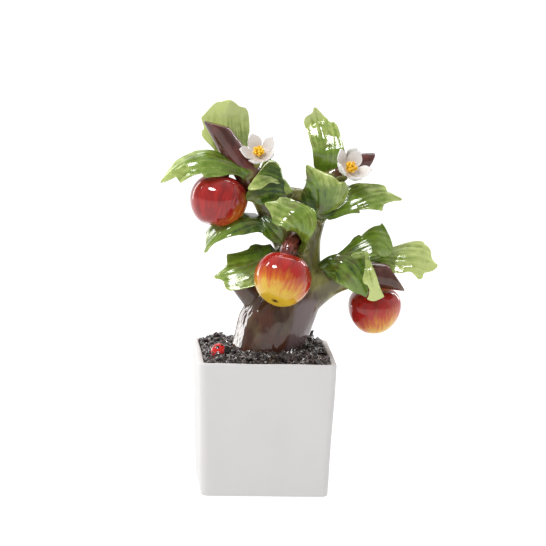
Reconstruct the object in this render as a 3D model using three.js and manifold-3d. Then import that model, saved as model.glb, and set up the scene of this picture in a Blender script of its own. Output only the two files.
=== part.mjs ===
// A glazed ceramic apple bonsai: a square white pot of soil, a stout leaning trunk with cut boughs,
// thick toothed leaves, apples, blossom and a ladybird. Millimetres, +Z up, origin under the pot's centre.
import * as THREE from 'three';
import { mergeVertices } from 'three/addons/utils/BufferGeometryUtils.js';
import Module from 'manifold-3d';

const wasm = await Module();
wasm.setup();

// The clear space kept between pieces that meet.
const GAP = 0.3;

// The pot: outer side at the rim and at the foot, height, wall, floor, corner radius outside and inside.
const POT = { rim: 85, foot: 78.4, high: 83.7, wall: 3.6, floor: 4, corner: 4.5, innerCorner: 3.5 };
const CORNER_STEPS = 5;

// The soil: its level at the wall, and the low mound that the trunk stands on.
const SOIL = { level: 82, mound: 85.2, moundFoot: 74, moundTop: 52, moundCorner: 12 };

// The trunk and boughs. Each route point is x, y, z and the radius across the view there.
// deep is the depth as a share of that radius, and a cut is a point on its plane and the way it faces.
const LIMBS = {
  trunk: {
    route: [[-1.5, 0, 80, 20], [1.5, 0, 90, 20.9], [4.5, 0, 98, 22.6], [9, 0, 106, 22.2], [17, 0, 122, 18.5],
      [21, 0, 138, 12.6], [24, 1, 156, 9.6], [28, 1, 172, 9], [31, 1, 187, 7]],
    deep: 0.84, sides: 18, steps: 16, cuts: [{ at: [0, 0, SOIL.mound + GAP], faces: [0, 0, -1] }],
  },
  bough_low_left: {
    route: [[4, 2, 110, 11], [-8, 3, 121, 9.4], [-17, 5, 131, 8], [-24, 7, 142, 6.8]],
    deep: 0.95, sides: 12, steps: 6, cuts: [{ at: [-19, 6, 136], faces: [-0.45, 0, 0.9] }],
  },
  bough_upper_left: {
    route: [[17, 2, 134, 10.5], [12.5, 2, 152, 8.6], [5, 1, 166, 8.2], [-2, 0, 180, 8], [-12, -1, 194, 8.2],
      [-24, -1, 211, 7.2], [-38, -2, 232, 5.4]],
    deep: 0.9, sides: 12, steps: 11, cuts: [{ at: [-34.5, -2, 226.2], faces: [0.24, 0, 0.97] }],
  },
  bough_upper_right: {
    route: [[27, 1, 168, 8.2], [34, 3, 185, 7.4], [45, 5, 197, 6], [57, 6.5, 202.6, 5], [69, 7.5, 203.8, 4.6]],
    deep: 0.9, sides: 12, steps: 9, cuts: [{ at: [64.6, 7, 203.3], faces: [0.9, 0, -0.42] }],
  },
  bough_right: {
    route: [[20, 0, 116, 13], [34, 0, 127, 11.5], [48, 0, 132.5, 9.4], [66, 0, 133, 8], [88, 0, 130, 7.4]],
    deep: 0.9, sides: 12, steps: 9, cuts: [{ at: [81.5, 0, 131.5], faces: [0.82, 0, 0.58] }],
  },
  twig_crotch: {
    route: [[30, 0, 178, 5], [21, -1, 182, 4.4], [13, -1, 183, 4], [3, 0, 180, 4]],
    deep: 1, sides: 10, steps: 6, cuts: [],
  },
};

// The apples: the middle, the radius, and the way that the stalk end points. A stalk runs on from there
// through its own points to the bough that carries it.
const APPLES = {
  apple_front: {
    centre: [7.7, -31, 134.4], radius: 17.8, top: [0.32, 0.52, 0.79],
    stalk: [[10, -24, 146, 3.4], [13, -20, 154, 3.8], [17, -11, 157, 4.2], [22, -2, 156, 4]],
  },
  apple_left: {
    centre: [-31.3, -6, 178.7], radius: 18, top: [0.28, 0.1, 0.95],
    stalk: [[-28.6, -5, 190, 2.2], [-25, -3, 199, 2.4], [-17, -1, 204, 2.8], [-14, -1, 203, 2.8]],
  },
  apple_right: {
    centre: [68.6, 8, 109.5], radius: 16.6, top: [-0.1, -0.14, 0.98],
    stalk: [[67.6, 6.6, 119, 2.2], [67, 5, 124, 2.4], [66, 2, 130, 2.8]],
  },
  apple_back: {
    centre: [14, 32, 126], radius: 16.6, top: [0.1, -0.3, 0.95],
    stalk: [[15, 29, 137, 2.4], [17, 22, 146, 2.8], [19, 12, 149, 3.2], [20, 3, 147, 3.2]],
  },
};
const APPLE_SIDES = 16;
const APPLE_RINGS = 11;
// An apple's form in shares of its radius: half its height, how much wider its shoulders are than its foot,
// how deep the eye below and the hollow round the stalk go in, and how wide they open, in radians.
const APPLE_FORM = { high: 0.96, shoulder: 0.07, widest: 1.012, eye: 0.13, eyeOpens: 0.42, hollow: 0.26,
  hollowOpens: 0.44 };

// The blossoms: the middle, the way it faces, the petals' reach and the turn of the first petal.
const BLOSSOMS = {
  blossom_left: { centre: [-6.8, -9, 208.4], faces: [-0.16, -0.7, 0.7], reach: 11.2, turn: 46,
    stem: [[-6.8, -8.6, 208, 1.8], [-8, -5, 202, 2.2], [-11, 0, 196, 2.6]] },
  blossom_right: { centre: [48.3, -9, 199.2], faces: [0.42, -0.57, 0.71], reach: 12.1, turn: 42,
    stem: [[48.2, -8.6, 199, 1.8], [46, -4, 194, 2.2], [40, 3, 191, 2.6]] },
  blossom_back: { centre: [48, 17, 199], faces: [0.1, 0.9, 0.38], reach: 11, turn: 60,
    stem: [[48, 15, 197, 1.8], [47, 9, 195, 2.2], [44, 5, 196, 2.6]] },
};
const PETALS = 5;
const PETAL_THICK = 1.5;
const PETAL_FOLD = 12;
// The round heart of a blossom, and how far in front of the petals' foot it sits, as shares of the reach.
const HEART = { radius: 0.3, forward: 0.3 };
// A petal's rib: how far out and how far forward its points lie, as shares of the reach.
const PETAL_RIB = [[0.04, 0], [0.6, -0.1], [0.85, 0.25], [1, 0.7]];
// A petal's half widths at even steps, as shares of its reach, and the places where it bends.
const PETAL_SHARES = [0.14, 0.28, 0.39, 0.4, 0.31, 0.1];
const PETAL_STATIONS = [0, 0.3, 0.6, 0.85, 1];

// The ladybird: the middle of its foot, its length, breadth and height, how high up the shell is widest as a
// share of its height, and its head's radius and how far in front of and above the foot's middle it sits.
const LADYBIRD = { foot: [-29.4, -21, 84.4], long: 9.8, broad: 9.4, high: 8, widest: 0.38, head: 3.6,
  headOut: 4, headUp: 3.2 };

// A leaf's thickness along the rib and its share at the margin, the half width at the tip and the least step
// between corners. On a leaf of the far side, also where the teeth begin, how many they are and how far they
// stand out as a share of the width, how far the sides sweep forward as a share of their half width, and how
// far the right side's teeth lag behind the left's.
const LEAF = { thick: 2.2, margin: 0.6, tip: 0.8, step: 0.2, teethFrom: 0.3, teeth: 3, bite: 0.1, sweep: 0.3,
  lag: 0.05 };
// The places along the rib of such a leaf where the blade bends or a tooth ends.
const STATIONS = [0, 0.1, 0.2, 0.3, 0.42, 0.525, 0.55, 0.65, 0.758, 0.785, 0.9, 1];

// The leaves that are told apart in the front of the crown. A rib runs from root to tip by two handles.
// left and right are the corners of its margins, each a share of the rib and the half width there, faces is
// the way that the glossy side looks at the root and turn at the tip, and fold is how far each half stands
// up from flat, in degrees.
const LEAVES = {
  upright_left: { rib: [[-20, 6, 197], [-21, 8, 210], [-29, 15, 227], [-24, 12, 239]],
    left: [[0, 2], [0.1, 5], [0.2, 9], [0.34, 11.7], [0.4, 13.3], [0.485, 16.1], [0.535, 17.2],
      [0.59, 16.6], [0.61, 15], [0.66, 15.5], [0.725, 16.5], [0.795, 12.8], [0.88, 9.4], [0.915, 7.5],
      [0.93, 5]],
    right: [[0, 2], [0.15, 6], [0.3, 11], [0.435, 13.4], [0.48, 14.6], [0.575, 15.4], [0.695, 15.6],
      [0.82, 14.7], [0.905, 12.3], [0.915, 9.3], [0.92, 7.5], [0.97, 4.5]],
    faces: [0, -1, 0.2], fold: [-6, -28] },
  long_left: { rib: [[-15, -7, 197], [-29, -12, 205], [-48, -13, 214], [-67, -7, 189.5]],
    left: [[0, 5], [0.1, 5], [0.21, 7.2], [0.28, 9.6], [0.375, 11.8], [0.485, 13.5], [0.555, 13.8],
      [0.57, 10.8], [0.7, 11.2], [0.8, 11.1], [0.868, 10.6], [0.855, 5], [0.945, 3]],
    right: [[0, 3], [0.1, 5], [0.2, 7], [0.39, 10], [0.52, 9.7], [0.625, 9.6], [0.69, 9.1], [0.765, 8.6],
      [0.82, 8.2], [0.865, 6.6], [0.91, 3.7], [0.95, 1.7]],
    faces: [0, -0.57, 0.82], fold: [-16, -14] },
  folded_middle: { rib: [[14, -5, 183], [6, -8, 187], [-6, -12, 187], [-14.6, -12, 180.7]],
    left: [[0, 4], [0.15, 7], [0.4, 7.8], [0.565, 7.9], [0.745, 7.5], [0.86, 4.8], [0.955, 2.3]],
    right: [[0, 3], [0.13, 3.1], [0.215, 5.6], [0.265, 8.5], [0.3, 11.2], [0.31, 14.3], [0.395, 18],
      [0.465, 18.1], [0.58, 13.6], [0.665, 10.5], [0.77, 7], [0.84, 5.1], [0.905, 3.6]],
    faces: [0.05, -1, 0.1], fold: [-8, -6] },
  folded_flap: { rib: [[8.6, -4, 190.6], [4, -7, 195], [-6, -12, 194], [-13.4, -14, 187.3]],
    left: [[0, 2], [0.02, 1.6], [0.275, 3.7], [0.505, 2.9], [0.66, 3.9], [0.775, 4.5], [0.905, 3.3]],
    right: [[0, 2], [0.03, 2.6], [0.075, 6.5], [0.07, 10.3], [0.125, 13.3], [0.18, 15.3], [0.26, 15.4],
      [0.5, 8.8], [0.665, 5.2], [0.84, 2.6], [0.955, 1.5]],
    faces: [0.1, -0.75, 0.65], fold: [-6, -6] },
  upright_right: { rib: [[34, 3, 191], [37, 5, 208], [32, 10, 225], [28, 11, 235.6]],
    left: [[0, 3], [0.08, 5], [0.18, 7.3], [0.235, 7.5], [0.33, 8], [0.425, 8], [0.51, 8.4], [0.59, 8.3],
      [0.665, 8.4], [0.745, 9.1], [0.815, 9], [0.88, 7.6], [0.905, 4.9], [0.88, 3.4], [0.93, 1.7]],
    right: [[0, 3], [0.08, 6], [0.155, 7], [0.235, 9.2], [0.355, 11.7], [0.425, 11.3], [0.5, 10.7],
      [0.57, 10.6], [0.64, 10.2], [0.7, 9.2], [0.71, 6.5], [0.76, 5.7], [0.85, 3.6], [0.93, 2.1]],
    faces: [0, -1, 0.25], fold: [8, 8] },
  cupped_right: { rib: [[30, -8, 171], [31, -15, 183], [31, -19, 195], [22, -13, 203]],
    left: [[0, 4], [0.14, 12.8], [0.32, 12.1], [0.515, 9.7], [0.745, 6.3], [0.93, 3.3]],
    right: [[0, 4], [0.1, 12], [0.25, 17], [0.365, 19.4], [0.425, 18.5], [0.505, 18], [0.52, 14.2],
      [0.63, 11], [0.76, 6.3], [0.91, 2.4]],
    faces: [-0.1, -1, 0.3], fold: [-24, -18] },
  level_right: { rib: [[37, -5, 171], [51, -11, 177], [65, -11, 189], [82.5, -5, 181]],
    left: [[0, 3], [0.1, 5], [0.16, 6], [0.27, 9.5], [0.355, 12.2], [0.42, 13.1], [0.505, 12.4],
      [0.56, 11.1], [0.64, 10.1], [0.72, 9.6], [0.8, 8.6], [0.82, 6.9], [0.815, 3.9], [0.87, 3.1],
      [0.93, 1.6]],
    right: [[0, 4], [0.1, 5], [0.195, 5], [0.295, 6.1], [0.395, 8.1], [0.4, 5.7], [0.5, 6.9], [0.61, 8.9],
      [0.7, 10.8], [0.745, 6.2], [0.86, 4]],
    faces: [0, -0.6, 0.8], fold: [8, -10] },
  right_upper: { rib: [[39, 0, 141], [51, -4, 144], [68, -5, 167], [77, -3, 147]],
    left: [[0, 3], [0.15, 2.8], [0.24, 3.5], [0.36, 5], [0.435, 6.9], [0.515, 7], [0.515, 5.2],
      [0.625, 8], [0.71, 10.5], [0.745, 11.1], [0.76, 13.5], [0.78, 11.8], [0.83, 7.9], [0.89, 5.3],
      [0.95, 3.3]],
    right: [[0, 3], [0.1, 4], [0.25, 7], [0.51, 10], [0.66, 10.7], [0.76, 9.8], [0.86, 8.6], [0.96, 7.2],
      [1, 5]],
    faces: [0.1, -0.85, 0.5], fold: [-4, -6] },
  right_front: { rib: [[33, -10, 139], [45, -17, 150], [55, -22, 139], [61, -17, 122]],
    left: [[0, 3], [0.22, 4.8], [0.32, 5.8], [0.39, 8.8], [0.485, 13], [0.53, 15.1], [0.605, 14.1],
      [0.655, 13.2], [0.71, 10.6], [0.75, 8], [0.88, 4]],
    right: [[0, 7], [0.04, 9.6], [0.2, 12.2], [0.4, 12.6], [0.58, 12.2], [0.76, 9.8], [0.88, 6.7], [0.95, 2.5]],
    faces: [0, -0.9, 0.35], fold: [-12, -10] },
  right_flap: { rib: [[60, -17, 149], [61, -22, 143], [62, -25, 132], [66.5, -21, 120.5]],
    left: [[0, 1], [0.27, 2.5], [0.425, 3.1], [0.575, 3.9], [0.74, 4.5], [0.89, 5.2], [0.97, 5.8],
      [0.99, 4.4]],
    right: [[0, 1], [0.3, 1.3], [0.435, 2.6], [0.56, 4.4], [0.64, 4.4], [0.685, 2.4], [0.77, 1.9],
      [0.87, 3.3], [0.915, 4.9], [0.96, 3.2]],
    faces: [0.1, -1, 0.1], fold: [0, 0] },
  far_right: { rib: [[65, 4, 140], [79, 2, 149], [93, -1, 139], [107, 3, 139]],
    left: [[0, 3], [0.1, 5], [0.2, 7], [0.315, 9], [0.44, 11.9], [0.565, 13.2], [0.7, 13.9], [0.84, 11.7],
      [0.905, 8.5], [0.88, 4.7], [0.935, 2.6]],
    right: [[0, 5], [0.12, 6], [0.25, 7.4], [0.335, 8.8], [0.475, 9.3], [0.61, 8.6], [0.68, 11.2],
      [0.73, 13], [0.775, 11.4], [0.79, 7.4], [0.915, 4.2]],
    faces: [0.05, -0.6, 0.8], fold: [0, -8] },
  low_left: { rib: [[6, -8, 147], [-10, -14, 139], [-18, -16, 137], [-33, -12, 132]],
    left: [[0, 6], [0.12, 13], [0.3, 15.5], [0.49, 14.6], [0.62, 13.5], [0.71, 13.1], [0.82, 12],
      [0.865, 9.9], [0.84, 8.1], [0.82, 6.6], [0.845, 4.4], [0.91, 3]],
    right: [[0, 8], [0.075, 9.3], [0.155, 12.8], [0.24, 13.3], [0.3, 11.7], [0.445, 12.3], [0.605, 13.1],
      [0.735, 14.1], [0.76, 12.1], [0.74, 9.7], [0.71, 7.7], [0.77, 6.3], [0.835, 3.9], [0.92, 2.3]],
    faces: [-0.1, -0.85, 0.5], fold: [6, -8] },
  under_left: { rib: [[1, -8, 163], [-10, -13, 172], [-31, -19, 167], [-39, -11, 147]],
    left: [[0, 7], [0.13, 6.8], [0.275, 7.8], [0.46, 7.8], [0.63, 6.4], [0.775, 4.4], [0.86, 2.4],
      [0.93, 1.5]],
    right: [[0, 4], [0.04, 12], [0.13, 15.6], [0.27, 14.4], [0.4, 12], [0.55, 11.4], [0.7, 12.4],
      [0.8, 13.8], [0.9, 14.2], [0.95, 7], [0.98, 3]],
    faces: [0, -0.45, 0.9], fold: [-30, -12] },
  front_top: { rib: [[20, -16, 151], [25, -29, 166], [15, -30, 182], [-4, -25, 181]],
    left: [[0, 8], [0.1, 9.6], [0.305, 10.5], [0.56, 10.4], [0.74, 10.1], [0.855, 9.3], [0.88, 7.2],
      [0.935, 3.9]],
    right: [[0, 3], [0.135, 4.6], [0.22, 5.8], [0.33, 7.6], [0.41, 9.2], [0.475, 10.7], [0.555, 9.3],
      [0.64, 8.9], [0.705, 9.8], [0.785, 9.9], [0.855, 8.2], [0.875, 4.5], [0.94, 2.3]],
    faces: [0, -1, 0.1], turn: [-0.1, -0.6, 0.8], fold: [-14, -14] },
  front_cup: { rib: [[-4, -8, 169], [1, -14, 163], [5, -16, 159], [9, -15, 155]],
    left: [[0, 2], [0.2, 5], [0.45, 6.4], [0.7, 4.6], [0.9, 2.6]],
    right: [[0, 2], [0.2, 5], [0.4, 6.2], [0.7, 5], [0.9, 2.4]],
    faces: [-0.3, -0.9, 0.4], fold: [14, 14] },
  strip_left: { rib: [[-2, 4, 184], [-4, 9, 190], [-1, 10, 197], [0.5, 8, 205]],
    left: [[0, 2], [0.2, 4], [0.5, 4.4], [0.8, 3], [0.95, 1.4]],
    right: [[0, 2], [0.2, 4], [0.5, 4.4], [0.8, 3], [0.95, 1.4]],
    faces: [0.2, -1, 0.2], fold: [0, 0] },
};
// The twig under each leaf has these radii at the stem's end, at the blade's root and where it ends in the
// blade, and the last two lie at these shares of the rib.
const TWIG = { foot: 2.8, middle: 2.2, tip: 0.9, root: 0.02, sinks: 0.14 };
// A leaf of the far side has these shares of its width at even steps from root to tip.
const PLAIN_LEAF = [0.2, 0.72, 1, 0.95, 0.66, 0.06];
// How much the seed may turn such a leaf, in degrees, and change its length, droop, width and fold.
const CHANCE = { turn: 8, long: [0.94, 0.12], droop: [0.1, 0.1], wide: [0.92, 0.16], fold: [-6, -12] };
// How high its rib arches at its two handles, as a share of its length, and how much it looks outwards.
const ARCH = { early: 0.1, late: 0.06, outlook: 0.25 };

// The masses with those leaves. A stem starts in the limb that carries it and is cut clear of it.
const FRONT_MASSES = {
  leaves_top_left: { stem: [[-14, 2, 192, 4], [-18, 7, 195, 3.4]], leaves: ['upright_left'] },
  leaves_upper_left: { stem: [[-12, -2, 193, 4], [-14, -7, 196, 3.4]], leaves: ['long_left'] },
  leaves_middle: { stem: [[14, 0, 184, 3.2], [13, -7, 184, 3]], leaves: ['folded_middle', 'folded_flap'] },
  leaves_strip: { stem: [[-9, 1, 183, 3], [-2, 4, 184, 2.6]], leaves: ['strip_left'] },
  leaves_top_right: { stem: [[33, 2, 184, 4], [34, 5, 191, 3.2]], leaves: ['upright_right'] },
  leaves_upper_right: { stem: [[29, 1, 168, 5], [33, -7, 170, 4]], leaves: ['cupped_right', 'level_right'] },
  leaves_right: { stem: [[34, 0, 132, 5], [37, -5, 139, 4]],
    leaves: ['right_front', 'right_upper', 'right_flap'] },
  leaves_far_right: { stem: [[62, 0, 132, 4], [65, 4, 140, 3.4]], leaves: ['far_right'] },
  leaves_low_left: { stem: [[16, 0, 148, 4.4], [7, -8, 147, 3.4]], leaves: ['low_left'] },
  leaves_under_left: { stem: [[2, 1, 164, 4.4], [-1, -8, 166, 3.4]], leaves: ['under_left', 'front_cup'] },
  leaves_front: { stem: [[23, 0, 150, 4.4], [20, -15, 151, 3.4]], leaves: ['front_top'] },
};

// The masses of the far side, which grow by rule: leaves fan out from a stem's end, each with its own
// heading, rise and droop drawn from the seed.
const BACK_MASSES = {
  leaves_back_upper_left: { stem: [[-14, 2, 194, 4], [-15, 10, 198, 3.4]],
    count: 2, heading: 106, spread: -14, rise: 20, climb: -44, long: 40, wide: 11.5, seed: 11 },
  leaves_back_left: { stem: [[-6, 3, 181, 4], [-9, 11, 185, 3.4]],
    count: 1, heading: 122, spread: 0, rise: -8, climb: 0, long: 38, wide: 11.5, seed: 17 },
  leaves_back_crown: { stem: [[33, 3, 184, 4], [35, 12, 186, 3.4]],
    count: 2, heading: 68, spread: 38, rise: -2, climb: 10, long: 40, wide: 11.5, seed: 23 },
  leaves_back_middle: { stem: [[25, 4, 164, 4.4], [27, 13, 166, 3.6]],
    count: 1, heading: 90, spread: 0, rise: -8, climb: 0, long: 44, wide: 9.5, seed: 31 },
  leaves_back_stem: { stem: [[20, 4, 142, 4.4], [20, 13, 147, 3.6]],
    count: 1, heading: 92, spread: 0, rise: 2, climb: 0, long: 42, wide: 12, seed: 37 },
  leaves_back_right: { stem: [[54, 4, 134, 4.4], [55, 12, 137, 3.4]],
    count: 2, heading: 64, spread: 44, rise: -2, climb: 0, long: 42, wide: 11.5, seed: 47 },
  leaves_back_low: { stem: [[-13, 6, 130, 4.4], [-13, 14, 134, 3.4]],
    count: 1, heading: 86, spread: 0, rise: -4, climb: 0, long: 40, wide: 12, seed: 53 },
};
// A leaf that would lose more than this share to what stands in its way is left out.
const MOST_LOST = 0.3;
// No face detail under this size is kept.
const FINEST = 0.2;

const COLOURS = {
  pot: ['#f4f4f2', 0.12], soil: ['#1d1815', 0.3], bark: ['#4a2a22', 0.15], leaf: ['#6f9a35', 0.15],
  back: ['#5d8a30', 0.15], apple: ['#b3282a', 0.1], blossom: ['#f1efee', 0.25], ladybird: ['#c81414', 0.1],
};

const vector = (p) => new THREE.Vector3(p[0], p[1], p[2]);

function seeded(seed) {
  let state = seed;
  return () => {
    state = (state * 1664525 + 1013904223) % 4294967296;
    return state / 4294967296;
  };
}

// Shared vertices are merged, so that a three.js shape becomes a closed solid.
function toSolid(geometry) {
  geometry.deleteAttribute('normal');
  geometry.deleteAttribute('uv');
  const merged = mergeVertices(geometry, 1e-4);
  return new wasm.Manifold(new wasm.Mesh({
    numProp: 3,
    vertProperties: new Float32Array(merged.attributes.position.array),
    triVerts: new Uint32Array(merged.index.array),
  }));
}

function toGeometry(solid) {
  const mesh = solid.getMesh();
  const geometry = new THREE.BufferGeometry();
  geometry.setAttribute('position', new THREE.BufferAttribute(new Float32Array(mesh.vertProperties), 3));
  geometry.setIndex(new THREE.BufferAttribute(new Uint32Array(mesh.triVerts), 1));
  geometry.computeVertexNormals();
  return geometry;
}

// Moves every vertex of a shape to where place says.
function bend(geometry, place) {
  const spots = geometry.attributes.position;
  const spot = new THREE.Vector3();
  for (let i = 0; i < spots.count; i += 1) {
    place(spot.fromBufferAttribute(spots, i));
    spots.setXYZ(i, spot.x, spot.y, spot.z);
  }
  return geometry;
}

function roundedSquare(side, corner) {
  const flat = side / 2 - corner;
  const shape = new THREE.Shape();
  shape.absarc(flat, flat, corner, 0, Math.PI / 2);
  shape.absarc(-flat, flat, corner, Math.PI / 2, Math.PI);
  shape.absarc(-flat, -flat, corner, Math.PI, Math.PI * 1.5);
  shape.absarc(flat, -flat, corner, Math.PI * 1.5, Math.PI * 2);
  return shape;
}

// An upright block with a rounded square section that changes evenly from its foot to its top.
function taperedBlock(lowSide, highSide, low, high, corner) {
  const shape = roundedSquare(lowSide, corner);
  const settings = { depth: high - low, bevelEnabled: false, curveSegments: CORNER_STEPS };
  const block = new THREE.ExtrudeGeometry(shape, settings);
  return toSolid(bend(block, (v) => {
    const scale = 1 + (highSide / lowSide - 1) * (v.z / (high - low));
    v.set(v.x * scale, v.y * scale, v.z + low);
  }));
}

function potSide(z) {
  return POT.foot + (POT.rim - POT.foot) * (z / POT.high);
}

function makePot() {
  const outside = taperedBlock(POT.foot, POT.rim, 0, POT.high, POT.corner);
  const above = POT.high + POT.wall;
  const inside = taperedBlock(potSide(POT.floor) - 2 * POT.wall, potSide(above) - 2 * POT.wall,
    POT.floor, above, POT.innerCorner);
  return outside.subtract(inside);
}

function makeSoil() {
  const low = POT.floor + GAP;
  const room = 2 * (POT.wall + GAP);
  const fill = taperedBlock(potSide(low) - room, potSide(SOIL.level) - room, low, SOIL.level,
    POT.innerCorner);
  const mound = taperedBlock(SOIL.moundFoot, SOIL.moundTop, SOIL.level - 1, SOIL.mound, SOIL.moundCorner);
  return fill.add(mound);
}

// A limb is a closed cylinder bent along its route, with each ring at the route's own radius.
function makeLimb({ route, deep = 1, sides = 8, steps = 4, cuts = [] }, grow = 0) {
  const line = new THREE.CatmullRomCurve3(route.map(vector), false, 'centripetal');
  const run = line.getPoint(1).sub(line.getPoint(0)).normalize();
  const level = Math.abs(run.y) > 0.8 ? new THREE.Vector3(0, 0, -1) : new THREE.Vector3(0, 1, 0);
  const rod = new THREE.CylinderGeometry(1, 1, 1, sides, steps);
  const last = route.length - 1;
  const round = toSolid(bend(rod, (v) => {
    const t = v.y + 0.5;
    const place = line.getPoint(t);
    const along = line.getTangent(t);
    const across = new THREE.Vector3().crossVectors(level, along).normalize();
    const away = new THREE.Vector3().crossVectors(along, across);
    const piece = Math.min(Math.floor(t * last), last - 1);
    const part = t * last - piece;
    const radius = route[piece][3] * (1 - part) + route[piece + 1][3] * part;
    const { x, z } = v;
    const past = (t === 0 ? -1 : 0) + (t === 1 ? 1 : 0);
    v.copy(place).addScaledVector(along, past * grow);
    v.addScaledVector(across, x * (radius + grow));
    v.addScaledVector(away, -z * (radius * deep + grow));
  }));
  return cuts.reduce((solid, cut) => {
    const faces = vector(cut.faces).normalize();
    const offset = vector(cut.at).dot(faces) + grow;
    return solid.trimByPlane([-faces.x, -faces.y, -faces.z], -offset);
  }, round);
}

// The corners of a plain margin: a curve through half widths at even steps along a rib of that length, with
// forward teeth, swept forward in the middle.
function plainMargin(widths, stations, long, bite = 0, lag = 0) {
  const curve = new THREE.SplineCurve(widths.map((width, k) => new THREE.Vector2(k, width)));
  return stations.slice(0, -1).map((t) => {
    const at = t - lag * Math.sin(Math.PI * t);
    const width = Math.max(curve.getPoint(at).y, LEAF.tip);
    const tooth = ((at - LEAF.teethFrom) / (1 - LEAF.teethFrom) * LEAF.teeth) % 1;
    const toothed = at > LEAF.teethFrom ? width * (1 + bite * (2 * tooth - 1)) : width;
    return [t + LEAF.sweep * Math.sin(Math.PI * t) * toothed / long, toothed];
  });
}

// Corners that run forward only, each at least a small step past the one before.
function inOrder(corners) {
  corners.forEach((corner, k) => {
    if (k > 0) corner.setX(Math.max(corner.x, corners[k - 1].x + LEAF.step));
  });
  return corners;
}

// A margin's corners, in millimetres along the rib and out from it, moved outwards by grow.
function marginCorners(pairs, long, grow) {
  const corners = inOrder([...pairs, [1, LEAF.tip]].map(([t, width]) => new THREE.Vector2(t * long, width)));
  const moved = corners.map((corner, k) => {
    const before = corners[Math.max(k - 1, 0)];
    const after = corners[Math.min(k + 1, corners.length - 1)];
    const run = after.clone().sub(before).normalize();
    return new THREE.Vector2(corner.x - run.y * grow, corner.y + run.x * grow);
  });
  moved[0].setX(0);
  return inOrder(moved);
}

// The longest run between corners is halved until there are as many corners as rows.
function filled(corners, rows) {
  const all = [...corners];
  while (all.length < rows) {
    const runs = all.slice(1).map((corner, k) => corner.distanceTo(all[k]));
    const k = runs.indexOf(Math.max(...runs));
    all.splice(k + 1, 0, all[k].clone().lerp(all[k + 1], 0.5));
  }
  return all;
}

// A leaf or petal is a flat box bent to its rib, its margins and its fold. It has a row for each corner, one
// for the tip and one to spare, so that no rows cross.
function makeLeaf(spec, grow = 0) {
  const { rib, faces, turn = faces, fold, thick = LEAF.thick } = spec;
  const line = new THREE.CubicBezierCurve3(...rib.map(vector));
  const long = line.getLength();
  const rows = Math.max(spec.left.length, spec.right.length) + 2;
  const margins = [spec.left, spec.right].map((pairs) => filled(marginCorners(pairs, long, grow), rows));
  const slab = new THREE.BoxGeometry(2, 1, 1, 2, rows - 1, 1);
  return toSolid(bend(slab, (v) => {
    const side = v.x;
    const half = side < 0 ? 0 : 1;
    const row = Math.round((v.y + 0.5) * (rows - 1));
    const corner = margins[half][row];
    const at = side === 0 ? Math.min(margins[0][row].x, margins[1][row].x) : corner.x;
    const t = Math.min(at / long, 1);
    const along = line.getTangent(t);
    const look = vector(faces).lerp(vector(turn), t);
    const right = new THREE.Vector3().crossVectors(along, look).normalize();
    const up = new THREE.Vector3().crossVectors(right, along);
    const angle = THREE.MathUtils.degToRad(fold[half]);
    const reach = Math.abs(side) * corner.y;
    const height = v.z * (thick * (1 - (1 - LEAF.margin) * Math.abs(side)) + 2 * grow);
    v.copy(line.getPoint(t)).addScaledVector(along, Math.max(at - long, 0));
    v.addScaledVector(right, Math.sign(side) * reach * Math.cos(angle));
    v.addScaledVector(up, reach * Math.sin(angle) + height);
  }));
}

// Each leaf hangs on a twig that leaves the stem's end and runs on by the blade's root into its rib, or
// straight into it where it would have to turn back.
function makeTwig(from, leaf, grow) {
  const line = new THREE.CubicBezierCurve3(...leaf.rib.map(vector));
  const root = line.getPoint(TWIG.root);
  const deep = line.getPoint(TWIG.sinks);
  const foot = vector(from);
  const turnsBack = root.clone().sub(foot).dot(deep.clone().sub(root)) < 0;
  const middle = turnsBack ? [] : [[...root.toArray(), TWIG.middle]];
  return makeLimb({ route: [[...foot.toArray(), TWIG.foot], ...middle, [...deep.toArray(), TWIG.tip]],
    sides: 6, steps: 3 }, grow);
}

// The apple's outline from the eye below to the hollow round the stalk.
function appleProfile(radius) {
  const { high, shoulder, widest, eye, eyeOpens, hollow, hollowOpens } = APPLE_FORM;
  const outline = [];
  for (let k = 0; k <= APPLE_RINGS; k += 1) {
    const turn = Math.PI * k / APPLE_RINGS;
    const wide = Math.sin(turn) * (1 - shoulder * Math.cos(turn)) / widest;
    const below = eye * Math.exp(-((turn / eyeOpens) ** 2));
    const above = hollow * Math.exp(-(((Math.PI - turn) / hollowOpens) ** 2));
    const x = k === 0 || k === APPLE_RINGS ? 0 : radius * wide;
    outline.push(new THREE.Vector2(x, radius * (below - above - high * Math.cos(turn))));
  }
  return outline;
}

function makeApple({ centre, radius, top, stalk }, grow = 0) {
  const turned = new THREE.LatheGeometry(appleProfile(radius + grow), APPLE_SIDES);
  const upright = new THREE.Vector3(0, 1, 0);
  const stand = new THREE.Quaternion().setFromUnitVectors(upright, vector(top).normalize());
  turned.applyQuaternion(stand);
  turned.translate(...centre);
  return toSolid(turned).add(makeLimb({ route: stalk, sides: 8, steps: 5 }, grow));
}

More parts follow.
